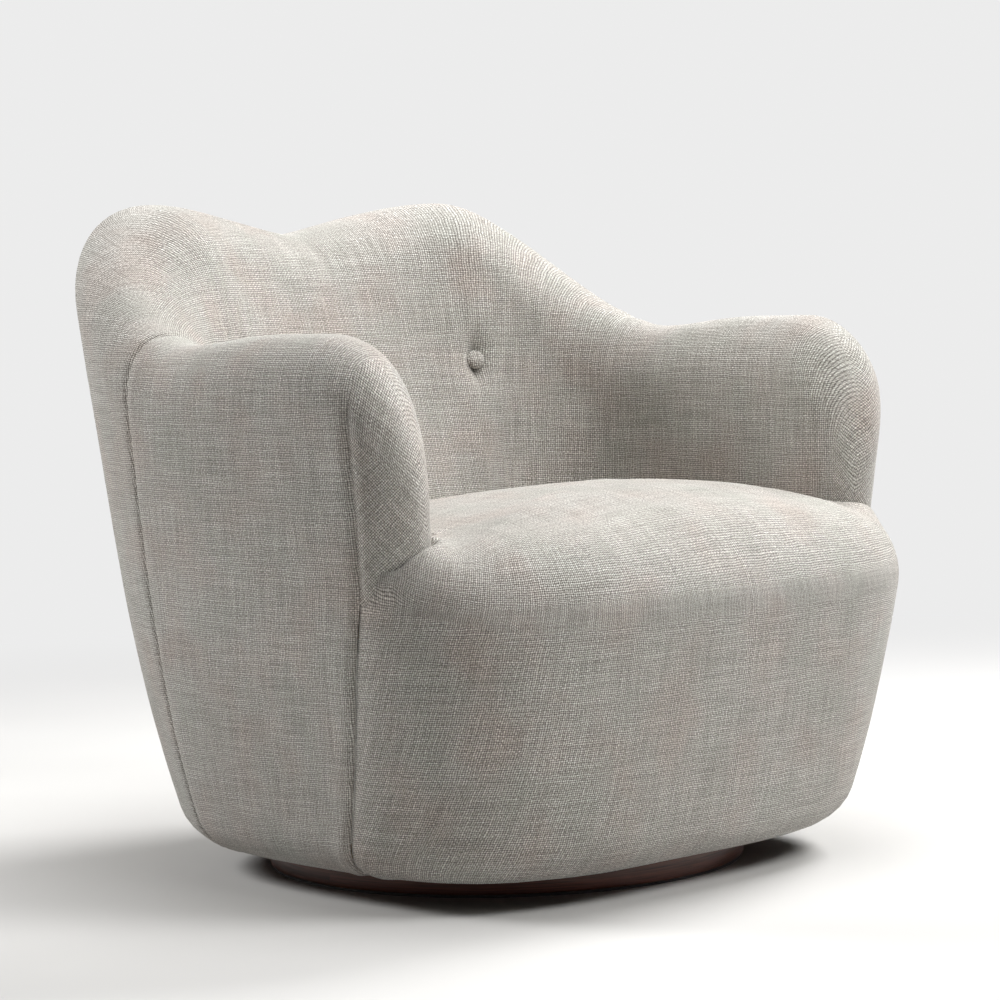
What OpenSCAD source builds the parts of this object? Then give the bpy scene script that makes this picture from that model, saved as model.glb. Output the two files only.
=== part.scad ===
/* [Body outline] */
// Width of the upholstered body at its fullest height
body_w = 856; // [800:1:920]
// Depth of the upholstered body at its fullest height
body_d = 828; // [780:1:880]
// How far the widest point lies in front of the swivel axis
widest_forward = 39; // [20:1:60]
// Squareness of the outline's back half, 2 is an ellipse
back_squareness = 2.74; // [2.4:0.01:3]
// Squareness of the outline's front half
front_squareness = 3.32; // [2.8:0.01:3.6]
// Height at which the outline has its full size
full_h = 620; // [580:1:660]
// How far the sides draw in evenly down to the floor
draw_in = 71; // [50:1:88]
// How far the sides draw in near the floor only
tuck_in = 40.7; // [26:0.1:52]
// Height of the body's underside
underside_h = 28; // [24:1:34]
// Radius of the rounding round the underside
underside_r = 41; // [34:1:46]

/* [Back and arms] */
// Height of the two humps of the back
back_h = 735; // [700:1:770]
// Depth of the valley between the humps
valley_dip = 35; // [15:1:50]
// Height of the arms
arm_h = 591; // [560:1:620]
// Depth of the saddle between the back and each arm
saddle_dip = 10; // [4:1:20]
// Distance along the outline from the back's middle to a hump
hump_reach = 248; // [220:1:280]
// Distance along the outline from the back's middle to the saddle
saddle_reach = 611; // [580:1:640]
// Distance along the outline from the back's middle to the arm's full height
rise_reach = 768; // [740:1:800]
// Thickness of an arm
arm_t = 120; // [110:1:132]
// Thickness of the back at its top
back_top_t = 130; // [120:1:145]
// Thickness of the back at the seat
back_seat_t = 230; // [210:1:250]
// Height of the rounding along the top of an arm
arm_roll_h = 83; // [70:1:92]
// Height of the rounding along the top of the back
back_roll_h = 64; // [56:1:76]
// Length of the rounding at the front of an arm, seen from the side
nose_len = 131; // [115:1:150]
// Fall of the arm's top over that rounding
nose_drop = 183; // [165:1:195]
// Distance of the arm's tip from the body's outline
nose_inset = 47; // [40:1:54]
// Rounding of the arm's front on its outer side
nose_outer_r = 70; // [60:1:80]
// Rounding of the arm's front on its inner side
nose_inner_r = 92; // [84:1:100]

/* [Seat] */
// Half of the width of the front fabric, seam to middle
front_half_w = 467; // [440:1:490]
// How far an arm's tip runs past that seam
arm_lap = 53; // [44:1:60]
// Height of the seat's edge beside the middle of each arm
seat_h = 369; // [355:1:385]
// Rise of the seat's crown above that
crown_h = 53; // [36:1:60]
// How far the seat's edge lies lower along the back
rim_drop = 37; // [10:1:40]
// How far it lies higher at the front of the arms
rim_rise = 7; // [0:1:12]
// Height of the fold between seat and front at the arms
apron_h = 321; // [312:1:326]
// Height of that fold at the middle of the front
front_fold_h = 292; // [286:1:310]
// Height of the rounded front edge above the fold
seat_edge_h = 74; // [56:1:80]
// Depth of that rounded edge, seen from above
seat_edge_d = 107; // [80:1:118]
// Height of the seat ring's top face
deck_h = 250; // [235:1:262]
// Pitch of the seat springs
spring_pitch = 82; // [70:1:90]
// Wire of the seat springs
spring_wire = 3.6; // [3:0.1:4.2]

/* [Plinth and swivel] */
// How far the plinth stands back from the body's lower edge
plinth_set_in = 59; // [56:1:80]
// Height of the plinth's top edge
plinth_h = 46; // [42:1:48]
// Wall of the plinth's bent ring
plinth_wall = 14; // [10:1:18]
// Thickness of the plinth's board
plinth_board_t = 18; // [15:1:21]
// Side of the square swivel plates
swivel_side = 200; // [170:1:230]
// Thickness of the swivel plates
swivel_plate_t = 3; // [2.5:0.1:3.5]
// Diameter of the circle on which the balls run
ball_circle = 130; // [110:1:150]
// Diameter of the balls
ball_dia = 6; // [5:0.1:6.5]

/* [Hidden] */

// Shape constants, pure numbers
tuck_power = 3.81;
valley_power = 1.15;
roll_power = 2.2;
crown_side_power = 1.71;
crown_front_power = 2.4;
soft_share = 0.1;
nose_roll_share = 0.3;
deepest_back_share = 1.3;

// Cloth, padding and boards, counted inwards from the body's surface
cloth_t = 2;
cloth_gap = 1.6;
wadding_t = 4.7;
layer_gap = 0.5;
shell_t = 11.7;
fit_gap = 0.3;
back_foam_t = 60;
arm_foam_t = 32;
crest_foam_t = 42;
wadding_in = cloth_t + cloth_gap;
shell_in = wadding_in + wadding_t + layer_gap;
frame_in = shell_in + shell_t + fit_gap;
foam_in = cloth_t + cloth_gap;
back_foam_in = foam_in + back_foam_t;
arm_foam_in = foam_in + arm_foam_t;
crest_foam_in = foam_in + crest_foam_t;

// Heights and sizes of the frame
back_seat_h = 380;
board_t = 18;
ring_t = 22;
board_h = 52;
post_gap = 2;
board_top = board_h + board_t;
ring_h = deck_h - ring_t;
rail_t = 35;
upright_w = 50;
upright_t = 32;
post_w = 44;
back_post_t = 34;
nose_board_t = 18;
nose_pad_len = 80;
ring_side_w = 122;
ring_front_w = 50;
ring_back_w = 220;
well_corner_r = 30;
clip_wall = 1.5;
clip_h = spring_wire + 2 * clip_wall;
pad_t = 6;
pad_h = deck_h + clip_h + fit_gap;
foam_h = pad_h + pad_t + fit_gap;
leg_foam_h = 276;

// Seams of the covers, along the outline
side_seam_reach = 552;
side_seam_slant = 60;
seam_gap = 0.6;
nose_seam_back = 65;
centre_forward = 152;
rim_start = 300;
rim_stop = 700;
corner_edge_d = 29;
corner_reach = 906;
edge_reach = 1120;
seat_gap = 4.2;
ear_gap = 13;

// Buttons of the inside back
button_dia = 23;
button_h = 9;
button_rim = 2.5;
button_reach = 270;
button_z = 546;
dimple_depth = 12;
dimple_r = 34;
twine_dia = 2;
toggle_dia = 26;
toggle_t = 3;

// Outline of the body at its fullest height, from the back's middle, round one side, to the front's middle
half_w = body_w / 2;
half_d = body_d / 2;
back_reach = half_d + widest_forward;
front_reach = half_d - widest_forward;
arc_steps = 360;

function mix(a, b, k) = a + (b - a) * k;
function ease(a, b, x) = let (k = min(1, max(0, (x - a) / (b - a)))) k * k * (3 - 2 * k);
function round_off(x) = x >= 1 ? 1 : x <= 0 ? 0 : sqrt(1 - pow(1 - x, 2));

function outline_at(turn) =
    let (n = turn <= 90 ? back_squareness : front_squareness)
    let (reach = turn <= 90 ? back_reach : front_reach)
    [half_w * pow(abs(sin(turn)), 2 / n),
     sign(cos(turn)) * reach * pow(abs(cos(turn)), 2 / n) - widest_forward];
turns = [for (i = [0:arc_steps]) 180 * i / arc_steps];
steps = [for (i = [1:arc_steps]) norm(outline_at(turns[i]) - outline_at(turns[i - 1]))];
runs = [for (i = 0, run = 0; i <= arc_steps; run = run + (i < arc_steps ? steps[i] : 0), i = i + 1) run];
run_table = [for (i = [0:arc_steps]) [runs[i], turns[i]]];
full_run = runs[arc_steps];

// A place on the outline and the direction out of it, s is the signed distance from the back's middle
function place(s) =
    let (p = outline_at(lookup(abs(s), run_table)))
    [s < 0 ? -p.x : p.x, p.y];
function outward(s) =
    let (p = outline_at(lookup(abs(s), run_table)), y = p.y + widest_forward)
    let (n = y >= 0 ? back_squareness : front_squareness, reach = y >= 0 ? back_reach : front_reach)
    let (gx = pow(p.x / half_w, n - 1) / half_w, gy = sign(y) * pow(abs(y) / reach, n - 1) / reach)
    [s < 0 ? -gx : gx, gy] / norm([gx, gy]);
function taper(z) =
    let (k = 1 - z / full_h)
    1 - (draw_in * k + (k > 0 ? tuck_in * pow(k, tuck_power) : 0)) / half_w;
function wall_xy(s, z, inset) = place(s) * taper(z) - outward(s) * inset;
function wall(s, z, inset) = let (p = wall_xy(s, z, inset)) [p.x, p.y, z];

// The body's section at s: insets are [from outside, from inside, from above]
arm_end = full_run - front_half_w / taper(seat_h) + arm_lap;
function left_run(s, inset) = arm_end - inset - abs(s);
function crest_h(s) =
    let (a = abs(s), hump = pow(sin(90 * min(1, a / hump_reach)), valley_power))
    back_h - valley_dip * (1 - hump) - (back_h - arm_h + saddle_dip) * ease(hump_reach, saddle_reach, a)
        + saddle_dip * ease(saddle_reach, rise_reach, a);
function top_z(s, inset) =
    crest_h(s) - inset - (nose_drop - inset) * (1 - round_off(left_run(s, inset) / (nose_len - inset)));
function roll(s, inset) =
    mix(back_roll_h, arm_roll_h, ease(hump_reach, saddle_reach, abs(s)))
        * mix(nose_roll_share, 1, round_off(left_run(s, inset) / (nose_len - inset))) - inset;
function roll_z(s) = top_z(s, 0) - roll(s, 0);
function body_t(s, z) =
    let (k = ease(hump_reach, saddle_reach, abs(s)))
    let (low = (crest_h(s) - z) / (crest_h(s) - back_seat_h))
    mix(mix(back_top_t, arm_t, k), mix(back_seat_t, arm_t, k), min(deepest_back_share, max(0, low)));
function dimple(s, z) =
    dimple_depth * exp(-(pow(abs(s) - button_reach, 2) + pow(z - button_z, 2)) / pow(dimple_r, 2));
function outer_xy(s, z, e) =
    let (k = round_off(left_run(s, e[2]) / (nose_outer_r - e[2])))
    wall_xy(s, z, e[0] + (nose_inset - e[0]) * (1 - k));
function inner_xy(s, z, e) =
    let (k = round_off(left_run(s, e[2]) / (nose_inner_r - e[2])))
    let (tip = wall_xy(s, z, nose_inset))
    mix(tip, place(s) - outward(s) * (body_t(s, z) - e[1] - dimple(s, z)), k);
function outer(s, z, e) = let (p = outer_xy(s, z, e)) [p.x, p.y, z];
function inner(s, z, e) = let (p = inner_xy(s, z, e)) [p.x, p.y, z];
function over(s, turn, e) =
    let (across = 0.5 - 0.5 * sign(cos(turn)) * pow(abs(cos(turn)), 2 / roll_power))
    let (z = top_z(s, e[2]) - roll(s, e[2]) + roll(s, e[2]) * pow(abs(sin(turn)), 2 / roll_power))
    let (p = mix(outer_xy(s, z, e), inner_xy(s, z, e), across))
    [p.x, p.y, z];
function same(inset) = [inset, inset, inset];

// Seams: the front fabric keeps its width, so its seam runs back as the body narrows
function front_seam(z) = full_run - front_half_w / taper(z);
nose_seam = arm_end - nose_seam_back;
function side_front(z) = min(front_seam(z), nose_seam) - seam_gap;
function side_back(z) = side_seam_reach - side_seam_slant * max(0, 1 - z / arm_h);

// Stations that the shells, padding and boards share, closer together round a button
back_end = side_seam_reach - layer_gap;
arm_start = side_seam_reach + layer_gap;
arm_stop = arm_end - nose_pad_len;
panel_start = arm_stop + layer_gap;
dimple_start = button_reach - dimple_r;
dimple_stop = button_reach + dimple_r;
back_steps = 5;
arm_steps = 8;
front_steps = 13;
function back_stations(fine) = concat(
    [for (i = [0:back_steps - 1]) dimple_start * i / back_steps],
    [for (i = [-fine:fine]) button_reach + dimple_r * i / fine],
    [for (i = [1:back_steps]) mix(dimple_stop, back_end, i / back_steps)]);
function both_ways(half) = concat([for (i = [len(half) - 1:-1:1]) -half[i]], half);
back_half = back_stations(2);
back_runs = both_ways(back_half);
arm_runs = [for (i = [0:arm_steps]) mix(arm_start, arm_stop, i / arm_steps)];
front_runs = [for (i = [0:front_steps]) mix(panel_start, full_run, i / front_steps)];
half_loop = concat(back_half, arm_runs, front_runs);
loop_points = concat(half_loop, [for (i = [len(half_loop) - 2:-1:1]) -half_loop[i]]);
function loop_outline(z, inset) = [for (s = loop_points) wall_xy(s, z, inset)];

// Skins between two grids of points, a[column][row] outside and b[column][row] inside
function grid_faces(m, n, base, flip) =
    [for (i = [0:m - 2], j = [0:n - 2])
        let (p = base + i * n + j, q = p + n)
        each flip ? [[p, p + 1, q + 1], [p, q + 1, q]] : [[p, q + 1, p + 1], [p, q, q + 1]]];
function strip_faces(a, b, flip) =
    [for (i = [0:len(a) - 2])
        each flip ? [[a[i], a[i + 1], b[i + 1]], [a[i], b[i + 1], b[i]]]
                  : [[a[i], b[i + 1], a[i + 1]], [a[i], b[i], b[i + 1]]]];
module skin(a, b) {
    m = len(a);
    n = len(a[0]);
    off = m * n;
    points = [for (c = a) each c, for (c = b) each c];
    low = [for (i = [0:m - 1]) i * n];
    high = [for (i = [0:m - 1]) i * n + n - 1];
    first = [for (j = [0:n - 1]) j];
    last = [for (j = [0:n - 1]) (m - 1) * n + j];
    polyhedron(points, concat(grid_faces(m, n, 0, false), grid_faces(m, n, off, true),
        strip_faces(low, [for (k = low) k + off], false),
        strip_faces(high, [for (k = high) k + off], true),
        strip_faces(first, [for (k = first) k + off], true),
        strip_faces(last, [for (k = last) k + off], false)));
}
// The same between two grids that close on themselves, with a top point each, or over a floor point
module dome(a, b, top_a, top_b) {
    m = len(a);
    n = len(a[0]);
    off = m * n;
    points = [for (c = a) each c, for (c = b) each c, top_a, top_b];
    function id(i, j, base) = base + (i % m) * n + j;
    faces = [for (i = [0:m - 1], j = [0:n - 2])
        each [[id(i, j, 0), id(i + 1, j + 1, 0), id(i, j + 1, 0)],
              [id(i, j, 0), id(i + 1, j, 0), id(i + 1, j + 1, 0)],
              [id(i, j, off), id(i, j + 1, off), id(i + 1, j + 1, off)],
              [id(i, j, off), id(i + 1, j + 1, off), id(i + 1, j, off)]]];
    rims = [for (i = [0:m - 1])
        each [[id(i, 0, 0), id(i, 0, off), id(i + 1, 0, off)],
              [id(i, 0, 0), id(i + 1, 0, off), id(i + 1, 0, 0)],
              [id(i, n - 1, 0), id(i + 1, n - 1, 0), 2 * off],
              [id(i, n - 1, off), 2 * off + 1, id(i + 1, n - 1, off)]]];
    polyhedron(points, concat(faces, rims));
}
module cushion(a, top, floor_point) {
    m = len(a);
    n = len(a[0]);
    points = [for (c = a) each c, top, floor_point];
    function id(i, j) = (i % m) * n + j;
    faces = [for (i = [0:m - 1], j = [0:n - 2])
        each [[id(i, j), id(i + 1, j + 1), id(i, j + 1)], [id(i, j), id(i + 1, j), id(i + 1, j + 1)]]];
    ends = [for (i = [0:m - 1])
        each [[id(i, n - 1), id(i + 1, n - 1), m * n], [id(i, 0), m * n + 1, id(i + 1, 0)]]];
    polyhedron(points, concat(faces, ends));
}
module other_side() {
    mirror([1, 0, 0]) children();
}

// Plinth: it stays on the floor
plinth_r = min(half_w, half_d) * taper(board_h) - plinth_set_in;
plinth_in_r = plinth_r - plinth_wall;
felt_t = 3;
plinth_bevel = 2;
plate_gap = 8;
plate_low = board_h - 2 * swivel_plate_t - plate_gap;
plinth_board_h = plate_low - plinth_board_t;
block_side = 22;
block_len = 44;
block_low = 6;
block_count = 8;
well_hole_dia = 60;
cut = 1;
round_fn = 120;
small_fn = 32;

module floor_felt() {
    color("dimgray") difference() {
        cylinder(h = felt_t, r = plinth_r - plinth_bevel, $fn = round_fn);
        translate([0, 0, -cut]) cylinder(h = felt_t + 2 * cut, r = plinth_in_r, $fn = round_fn);
    }
}
module plinth_ring() {
    color("#3c2620") rotate_extrude($fn = round_fn)
        polygon([[plinth_in_r, felt_t], [plinth_r - plinth_bevel, felt_t],
            [plinth_r, felt_t + plinth_bevel], [plinth_r, plinth_h - plinth_bevel],
            [plinth_r - plinth_bevel, plinth_h], [plinth_in_r, plinth_h]]);
}
module plinth_board() {
    color("burlywood") translate([0, 0, plinth_board_h]) difference() {
        cylinder(h = plinth_board_t, r = plinth_in_r, $fn = round_fn);
        translate([0, 0, -cut]) cylinder(h = plinth_board_t + 2 * cut, d = well_hole_dia, $fn = round_fn);
        at_bolts() translate([0, 0, -cut])
            cylinder(h = plinth_board_t + 2 * cut, d = barrel_dia, $fn = small_fn);
    }
}
module plinth_blocks() {
    color("tan") for (i = [0:block_count - 1]) rotate([0, 0, 360 * (i + 0.5) / block_count])
        intersection() {
            translate([plinth_in_r - block_side, -block_len / 2, block_low])
                cube([block_side, block_len, plinth_board_h - block_low]);
            cylinder(h = plinth_h, r = plinth_in_r, $fn = round_fn);
        }
}

// Swivel: two plates with a ball race between them, held together by a hollow rivet
bolt_edge = 15;
bolt_dia = 6;
bolt_hole_dia = 6.6;
bolt_head_dia = 11;
bolt_head_top_dia = 8;
bolt_head_h = 3.4;
nut_dia = 20;
nut_t = 2;
barrel_dia = 8;
barrel_len = 12;
ball_count = 24;
race_w = 14;
race_h = 2.5;
run_gap = 0.05;
cage_t = 1.2;
cage_w = 11;
cage_gap = 0.1;
rivet_dia = 24;
rivet_bore_dia = 18;
rivet_flange_dia = 34;
rivet_flange_t = 2;
ball_h = plate_low + swivel_plate_t + plate_gap / 2;

module at_bolts() {
    reach = swivel_side / 2 - bolt_edge;
    for (x = [-reach, reach], y = [-reach, reach]) translate([x, y, 0]) children();
}
module around_balls() {
    for (i = [0:ball_count - 1]) rotate([0, 0, 360 * i / ball_count])
        translate([ball_circle / 2, 0, 0]) children();
}
module race_plate(bore) {
    difference() {
        union() {
            translate([-swivel_side / 2, -swivel_side / 2, 0])
                cube([swivel_side, swivel_side, swivel_plate_t]);
            cylinder(h = swivel_plate_t + race_h, d = ball_circle + race_w, $fn = round_fn);
        }
        translate([0, 0, swivel_plate_t])
            cylinder(h = race_h + cut, d = ball_circle - race_w, $fn = round_fn);
        translate([0, 0, swivel_plate_t + plate_gap / 2]) rotate_extrude($fn = round_fn)
            translate([ball_circle / 2, 0]) circle(d = ball_dia + 2 * run_gap, $fn = small_fn);
        at_bolts() translate([0, 0, -cut])
            cylinder(h = swivel_plate_t + 2 * cut, d = bolt_hole_dia, $fn = small_fn);
        translate([0, 0, -cut]) cylinder(h = swivel_plate_t + 2 * cut, d = bore, $fn = small_fn);
    }
}
module swivel_lower_plate() {
    color("silver") translate([0, 0, plate_low]) race_plate(rivet_dia);
}
module swivel_upper_plate() {
    color("gainsboro") translate([0, 0, board_h]) mirror([0, 0, 1]) race_plate(rivet_dia + 2 * run_gap);
}
module bearing_balls() {
    color("lightgray") translate([0, 0, ball_h]) around_balls() sphere(d = ball_dia, $fn = small_fn);
}
module ball_cage() {
    color("goldenrod") translate([0, 0, ball_h - cage_t / 2]) difference() {
        cylinder(h = cage_t, d = ball_circle + cage_w, $fn = round_fn);
        translate([0, 0, -cut]) cylinder(h = cage_t + 2 * cut, d = ball_circle - cage_w, $fn = round_fn);
        around_balls() translate([0, 0, -cut])
            cylinder(h = cage_t + 2 * cut, d = ball_dia + 2 * cage_gap, $fn = small_fn);
    }
}
module pivot_rivet() {
    low = plate_low - rivet_flange_t;
    high = board_h + run_gap;
    all = high + rivet_flange_t - low;
    color("slategray") translate([0, 0, low]) difference() {
        union() {
            cylinder(h = all, d = rivet_dia, $fn = small_fn);
            cylinder(h = rivet_flange_t, d = rivet_flange_dia, $fn = small_fn);
            translate([0, 0, high - low])
                cylinder(h = rivet_flange_t, d = rivet_flange_dia, $fn = small_fn);
        }
        translate([0, 0, -cut]) cylinder(h = all + 2 * cut, d = rivet_bore_dia, $fn = small_fn);
    }
}
// A bolt whose head stands on z = 0 and whose shank goes down
module bolt(shank) {
    cylinder(h = bolt_head_h, d1 = bolt_head_dia, d2 = bolt_head_top_dia, $fn = small_fn);
    translate([0, 0, -shank]) cylinder(h = shank + run_gap, d = bolt_dia, $fn = small_fn);
}
// A tee nut whose flange lies under z = 0 and whose barrel stands up into the board
module tee_nut() {
    difference() {
        union() {
            translate([0, 0, -nut_t]) cylinder(h = nut_t, d = nut_dia, $fn = small_fn);
            translate([0, 0, -run_gap]) cylinder(h = barrel_len + run_gap, d = barrel_dia, $fn = small_fn);
        }
        translate([0, 0, -nut_t - cut])
            cylinder(h = barrel_len + nut_t + 2 * cut, d = bolt_dia + 2 * run_gap, $fn = small_fn);
    }
}
module lower_plate_bolts() {
    color("dimgray") at_bolts() translate([0, 0, plate_low + swivel_plate_t])
        bolt(plinth_board_t + swivel_plate_t);
}
module lower_nuts() {
    color("darkgray") at_bolts() translate([0, 0, plinth_board_h]) tee_nut();
}
module upper_plate_bolts() {
    color("dimgray") at_bolts() translate([0, 0, board_h - swivel_plate_t]) mirror([0, 0, 1])
        bolt(board_t + swivel_plate_t);
}
module upper_nuts() {
    color("darkgray") at_bolts() translate([0, 0, board_top]) mirror([0, 0, 1]) tee_nut();
}

// Frame of the body
well_half_w = round(half_w * taper(ring_h) - frame_in - ring_side_w);
well_front = round(half_d * taper(ring_h) - frame_in - ring_front_w);
well_back = round(half_d * taper(ring_h) - frame_in - ring_back_w);
arm_post_t = arm_t - arm_foam_in - frame_in - 2 * post_gap - half_w * (1 - taper(leg_foam_h));
upright_reaches = [90, 300, 520, 720, 860, 1320];
back_post_reaches = [95, 360];
arm_post_reaches = [600, 740];
wall_rows = [110, 165, 240, 340];
arch_angle = 22.5;

module base_board() {
    color("burlywood") difference() {
        translate([0, 0, board_h]) linear_extrude(board_t) polygon(loop_outline(board_h, frame_in));
        translate([0, 0, board_h - cut]) cylinder(h = board_t + 2 * cut, d = well_hole_dia, $fn = round_fn);
        at_bolts() translate([0, 0, board_h - cut])
            cylinder(h = board_t + 2 * cut, d = barrel_dia, $fn = small_fn);
    }
}
module seat_ring() {
    deep = well_front + well_back;
    color("burlywood") translate([0, 0, ring_h]) difference() {
        linear_extrude(ring_t) polygon(loop_outline(ring_h, frame_in));
        translate([-well_half_w + well_corner_r, -well_front, -cut])
            cube([2 * (well_half_w - well_corner_r), deep, ring_t + 2 * cut]);
        translate([-well_half_w, -well_front + well_corner_r, -cut])
            cube([2 * well_half_w, deep - 2 * well_corner_r, ring_t + 2 * cut]);
        for (x = [-1, 1], y = [-well_front + well_corner_r, well_back - well_corner_r])
            translate([x * (well_half_w - well_corner_r), y, -cut])
                cylinder(h = ring_t + 2 * cut, r = well_corner_r, $fn = small_fn);
    }
}
// A board that follows the wall between two heights
module upright(s, width, low, high, inset, thick) {
    ends = [s - width / 2, s + width / 2];
    heights = concat([low], [for (z = wall_rows) if (z > low && z < high) z], [high]);
    skin([for (u = ends) [for (z = heights) wall(u, z, inset)]],
         [for (u = ends) [for (z = heights) wall(u, z, inset + thick)]]);
}
board_lean = norm(place(full_run)) * (taper(board_top) - taper(board_h));
module ring_uprights() {
    color("tan") for (m = [0, 1], s = upright_reaches)
        mirror([m, 0, 0]) upright(s, upright_w, board_top, ring_h, frame_in + board_lean, upright_t);
}
rail_table = [for (s = concat(back_half, arm_runs)) [s, rail_foot(s)]];
function rail_foot(s) = top_z(s, crest_foam_in) - roll(s, crest_foam_in) - rail_t;
function under_rail(s) = lookup(abs(s), rail_table) - fit_gap;
function post_top(s) = min(under_rail(s - post_w / 2), under_rail(s + post_w / 2));
module back_posts() {
    color("tan") for (m = [0, 1], s = back_post_reaches)
        mirror([m, 0, 0]) upright(s, post_w, deck_h, post_top(s), frame_in + post_gap, back_post_t);
}
module arm_posts_left() {
    color("tan") for (s = arm_post_reaches)
        upright(s, post_w, deck_h, post_top(s), frame_in + post_gap, arm_post_t);
}
module arm_posts_right() {
    other_side() arm_posts_left();
}
function wall_top(s) = top_z(s, crest_foam_in) - roll(s, crest_foam_in) - layer_gap;
function wall_grid(stations, low, inset) =
    [for (s = stations) concat([wall(s, low, inset)], [for (z = wall_rows) wall(s, z, inset)],
        [wall(s, wall_top(s), inset)])];
module back_shell() {
    color("wheat") skin(wall_grid(back_runs, board_h, shell_in),
        wall_grid(back_runs, board_h, shell_in + shell_t));
}
module arm_shell_left() {
    color("wheat") skin(wall_grid(arm_runs, board_h, shell_in),
        wall_grid(arm_runs, board_h, shell_in + shell_t));
}
module arm_shell_right() {
    other_side() arm_shell_left();
}
front_loop = concat(front_runs, [for (i = [front_steps - 1:-1:0]) -front_runs[i]]);
function front_grid(low, high, inset) =
    [for (s = front_loop) concat([wall(s, low, inset)],
        [for (z = wall_rows) if (z > low && z < high) wall(s, z, inset)], [wall(s, high, inset)])];
module front_panel() {
    color("wheat") skin(front_grid(board_h, foam_h - layer_gap, shell_in),
        front_grid(board_h, foam_h - layer_gap, shell_in + shell_t));
}

// Rails under the rounded tops, and the board behind the front of each arm
back_rail_in = [frame_in + fit_gap, back_foam_in + post_gap, crest_foam_in + fit_gap];
arm_rail_in = [frame_in + fit_gap, arm_foam_in + post_gap, crest_foam_in + fit_gap];
function rail_low(s, e) =
    let (z = rail_foot(s), a = outer(s, z, e), b = inner(s, z, e))
    [for (t = [0:2 * arch_angle:180]) mix(a, b, t / 180)];
module rail(stations, e) {
    skin([for (s = stations) [for (t = [0:2 * arch_angle:180]) over(s, t, e)]],
        [for (s = stations) rail_low(s, e)]);
}
module back_top_rail() {
    color("tan") rail(back_runs, back_rail_in);
}
module arm_top_rail_left() {
    color("tan") rail(arm_runs, arm_rail_in);
}
module arm_top_rail_right() {
    other_side() arm_top_rail_left();
}
board_gap = 12;
board_start = arm_stop + board_gap;
module arm_front_board_left() {
    ends = [board_start, board_start + nose_board_t];
    e = [frame_in, shell_in, shell_in];
    low = deck_h + fit_gap;
    color("wheat") skin(
        [for (s = ends)
            concat([outer(s, low, e)], [for (t = [0:arch_angle:90 - arch_angle]) over(s, t, e)])],
        [for (s = ends)
            concat([inner(s, low, e)], [for (t = [0:arch_angle:90 - arch_angle]) over(s, 180 - t, e)])]);
}
module arm_front_board_right() {
    other_side() arm_front_board_left();
}

// Springs of the seat
spring_hold = 10;
spring_loops = 10;
spring_straight = 24;
spring_count = 5;
spring_step = (well_front + well_back + 2 * spring_hold) / spring_loops;
spring_start = -well_front - spring_hold;
spring_stop = well_back + spring_hold;
spring_z = deck_h + clip_wall + spring_wire / 2;
clip_w = 14;
clip_d = 12;

module at_springs() {
    for (i = [0:spring_count - 1])
        translate([(i - (spring_count - 1) / 2) * spring_pitch, 0, 0]) children();
}
module sinuous_spring() {
    for (k = [0:spring_loops]) translate([-spring_straight / 2, k * spring_step, 0])
        rotate([0, 90, 0]) cylinder(h = spring_straight, d = spring_wire, $fn = small_fn);
    for (k = [0:spring_loops - 1]) {
        side = k % 2 == 0 ? 1 : -1;
        translate([side * spring_straight / 2, (k + 0.5) * spring_step, 0]) rotate([0, 0, -90 * side])
            rotate_extrude(angle = 180, $fn = small_fn)
                translate([spring_step / 2, 0]) circle(d = spring_wire, $fn = small_fn);
    }
}
module seat_springs() {
    color("gray") at_springs() translate([0, spring_start, spring_z]) sinuous_spring();
}
module spring_clips() {
    color("black") at_springs() for (y = [spring_start, spring_stop]) difference() {
        translate([-clip_w / 2, y - clip_d / 2, deck_h]) cube([clip_w, clip_d, clip_h]);
        translate([-clip_w / 2 - cut, y, spring_z]) rotate([0, 90, 0])
            cylinder(h = clip_w + 2 * cut, d = spring_wire + 2 * run_gap, $fn = small_fn);
    }
}

// Outline of the seat: along the inner faces of back and arm, round the arm's tip, then along the front
nose_steps = 5;
nose_seam_turn = acos(1 - nose_seam_back / nose_inner_r);
nose_turns = [for (i = [0:nose_steps]) nose_seam_turn * (1 - i / nose_steps)];
function nose_s(turn, inset) = arm_end - inset - (nose_inner_r - inset) * (1 - cos(turn));
seat_sides = concat(back_stations(1), [for (i = [1:2:arm_steps]) arm_runs[i]]);
seat_front_steps = 12;
function seat_fronts(inset) =
    [for (i = [0:seat_front_steps]) mix(arm_end + ear_gap + inset, full_run, i / seat_front_steps)];
edge_turns = [20, 42, 65, 90];
crown_shares = [0.8, 0.5];
seat_centre = [0, -centre_forward];
function side_xy(s, z, inset) = inner_xy(s, z, same(-seat_gap - inset));
function further_in(s, z, a, b) = norm(a - wall_xy(s, z, 0)) > norm(b - wall_xy(s, z, 0)) ? a : b;
function lift(p, z) = [p.x, p.y, z];
function rim_h(s) = seat_h + mix(-rim_drop, rim_rise, ease(rim_start, rim_stop, abs(s)));

// The edge is steep at the corner beside an arm, its share 0 there, and deep along the front, its share 1
function edge_share(s) = ease(corner_reach, edge_reach, abs(s));
function fold_h(s) = mix(apron_h, front_fold_h, edge_share(s));
function edge_h(s) = mix(rim_h(s) - apron_h, seat_edge_h, edge_share(s));
function edge_in(s, turn, inset) =
    inset + (mix(corner_edge_d, seat_edge_d, edge_share(s)) - inset) * (1 - cos(turn));
function edge_z(s, turn, inset) = fold_h(s) + (edge_h(s) - inset) * sin(turn);

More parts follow.
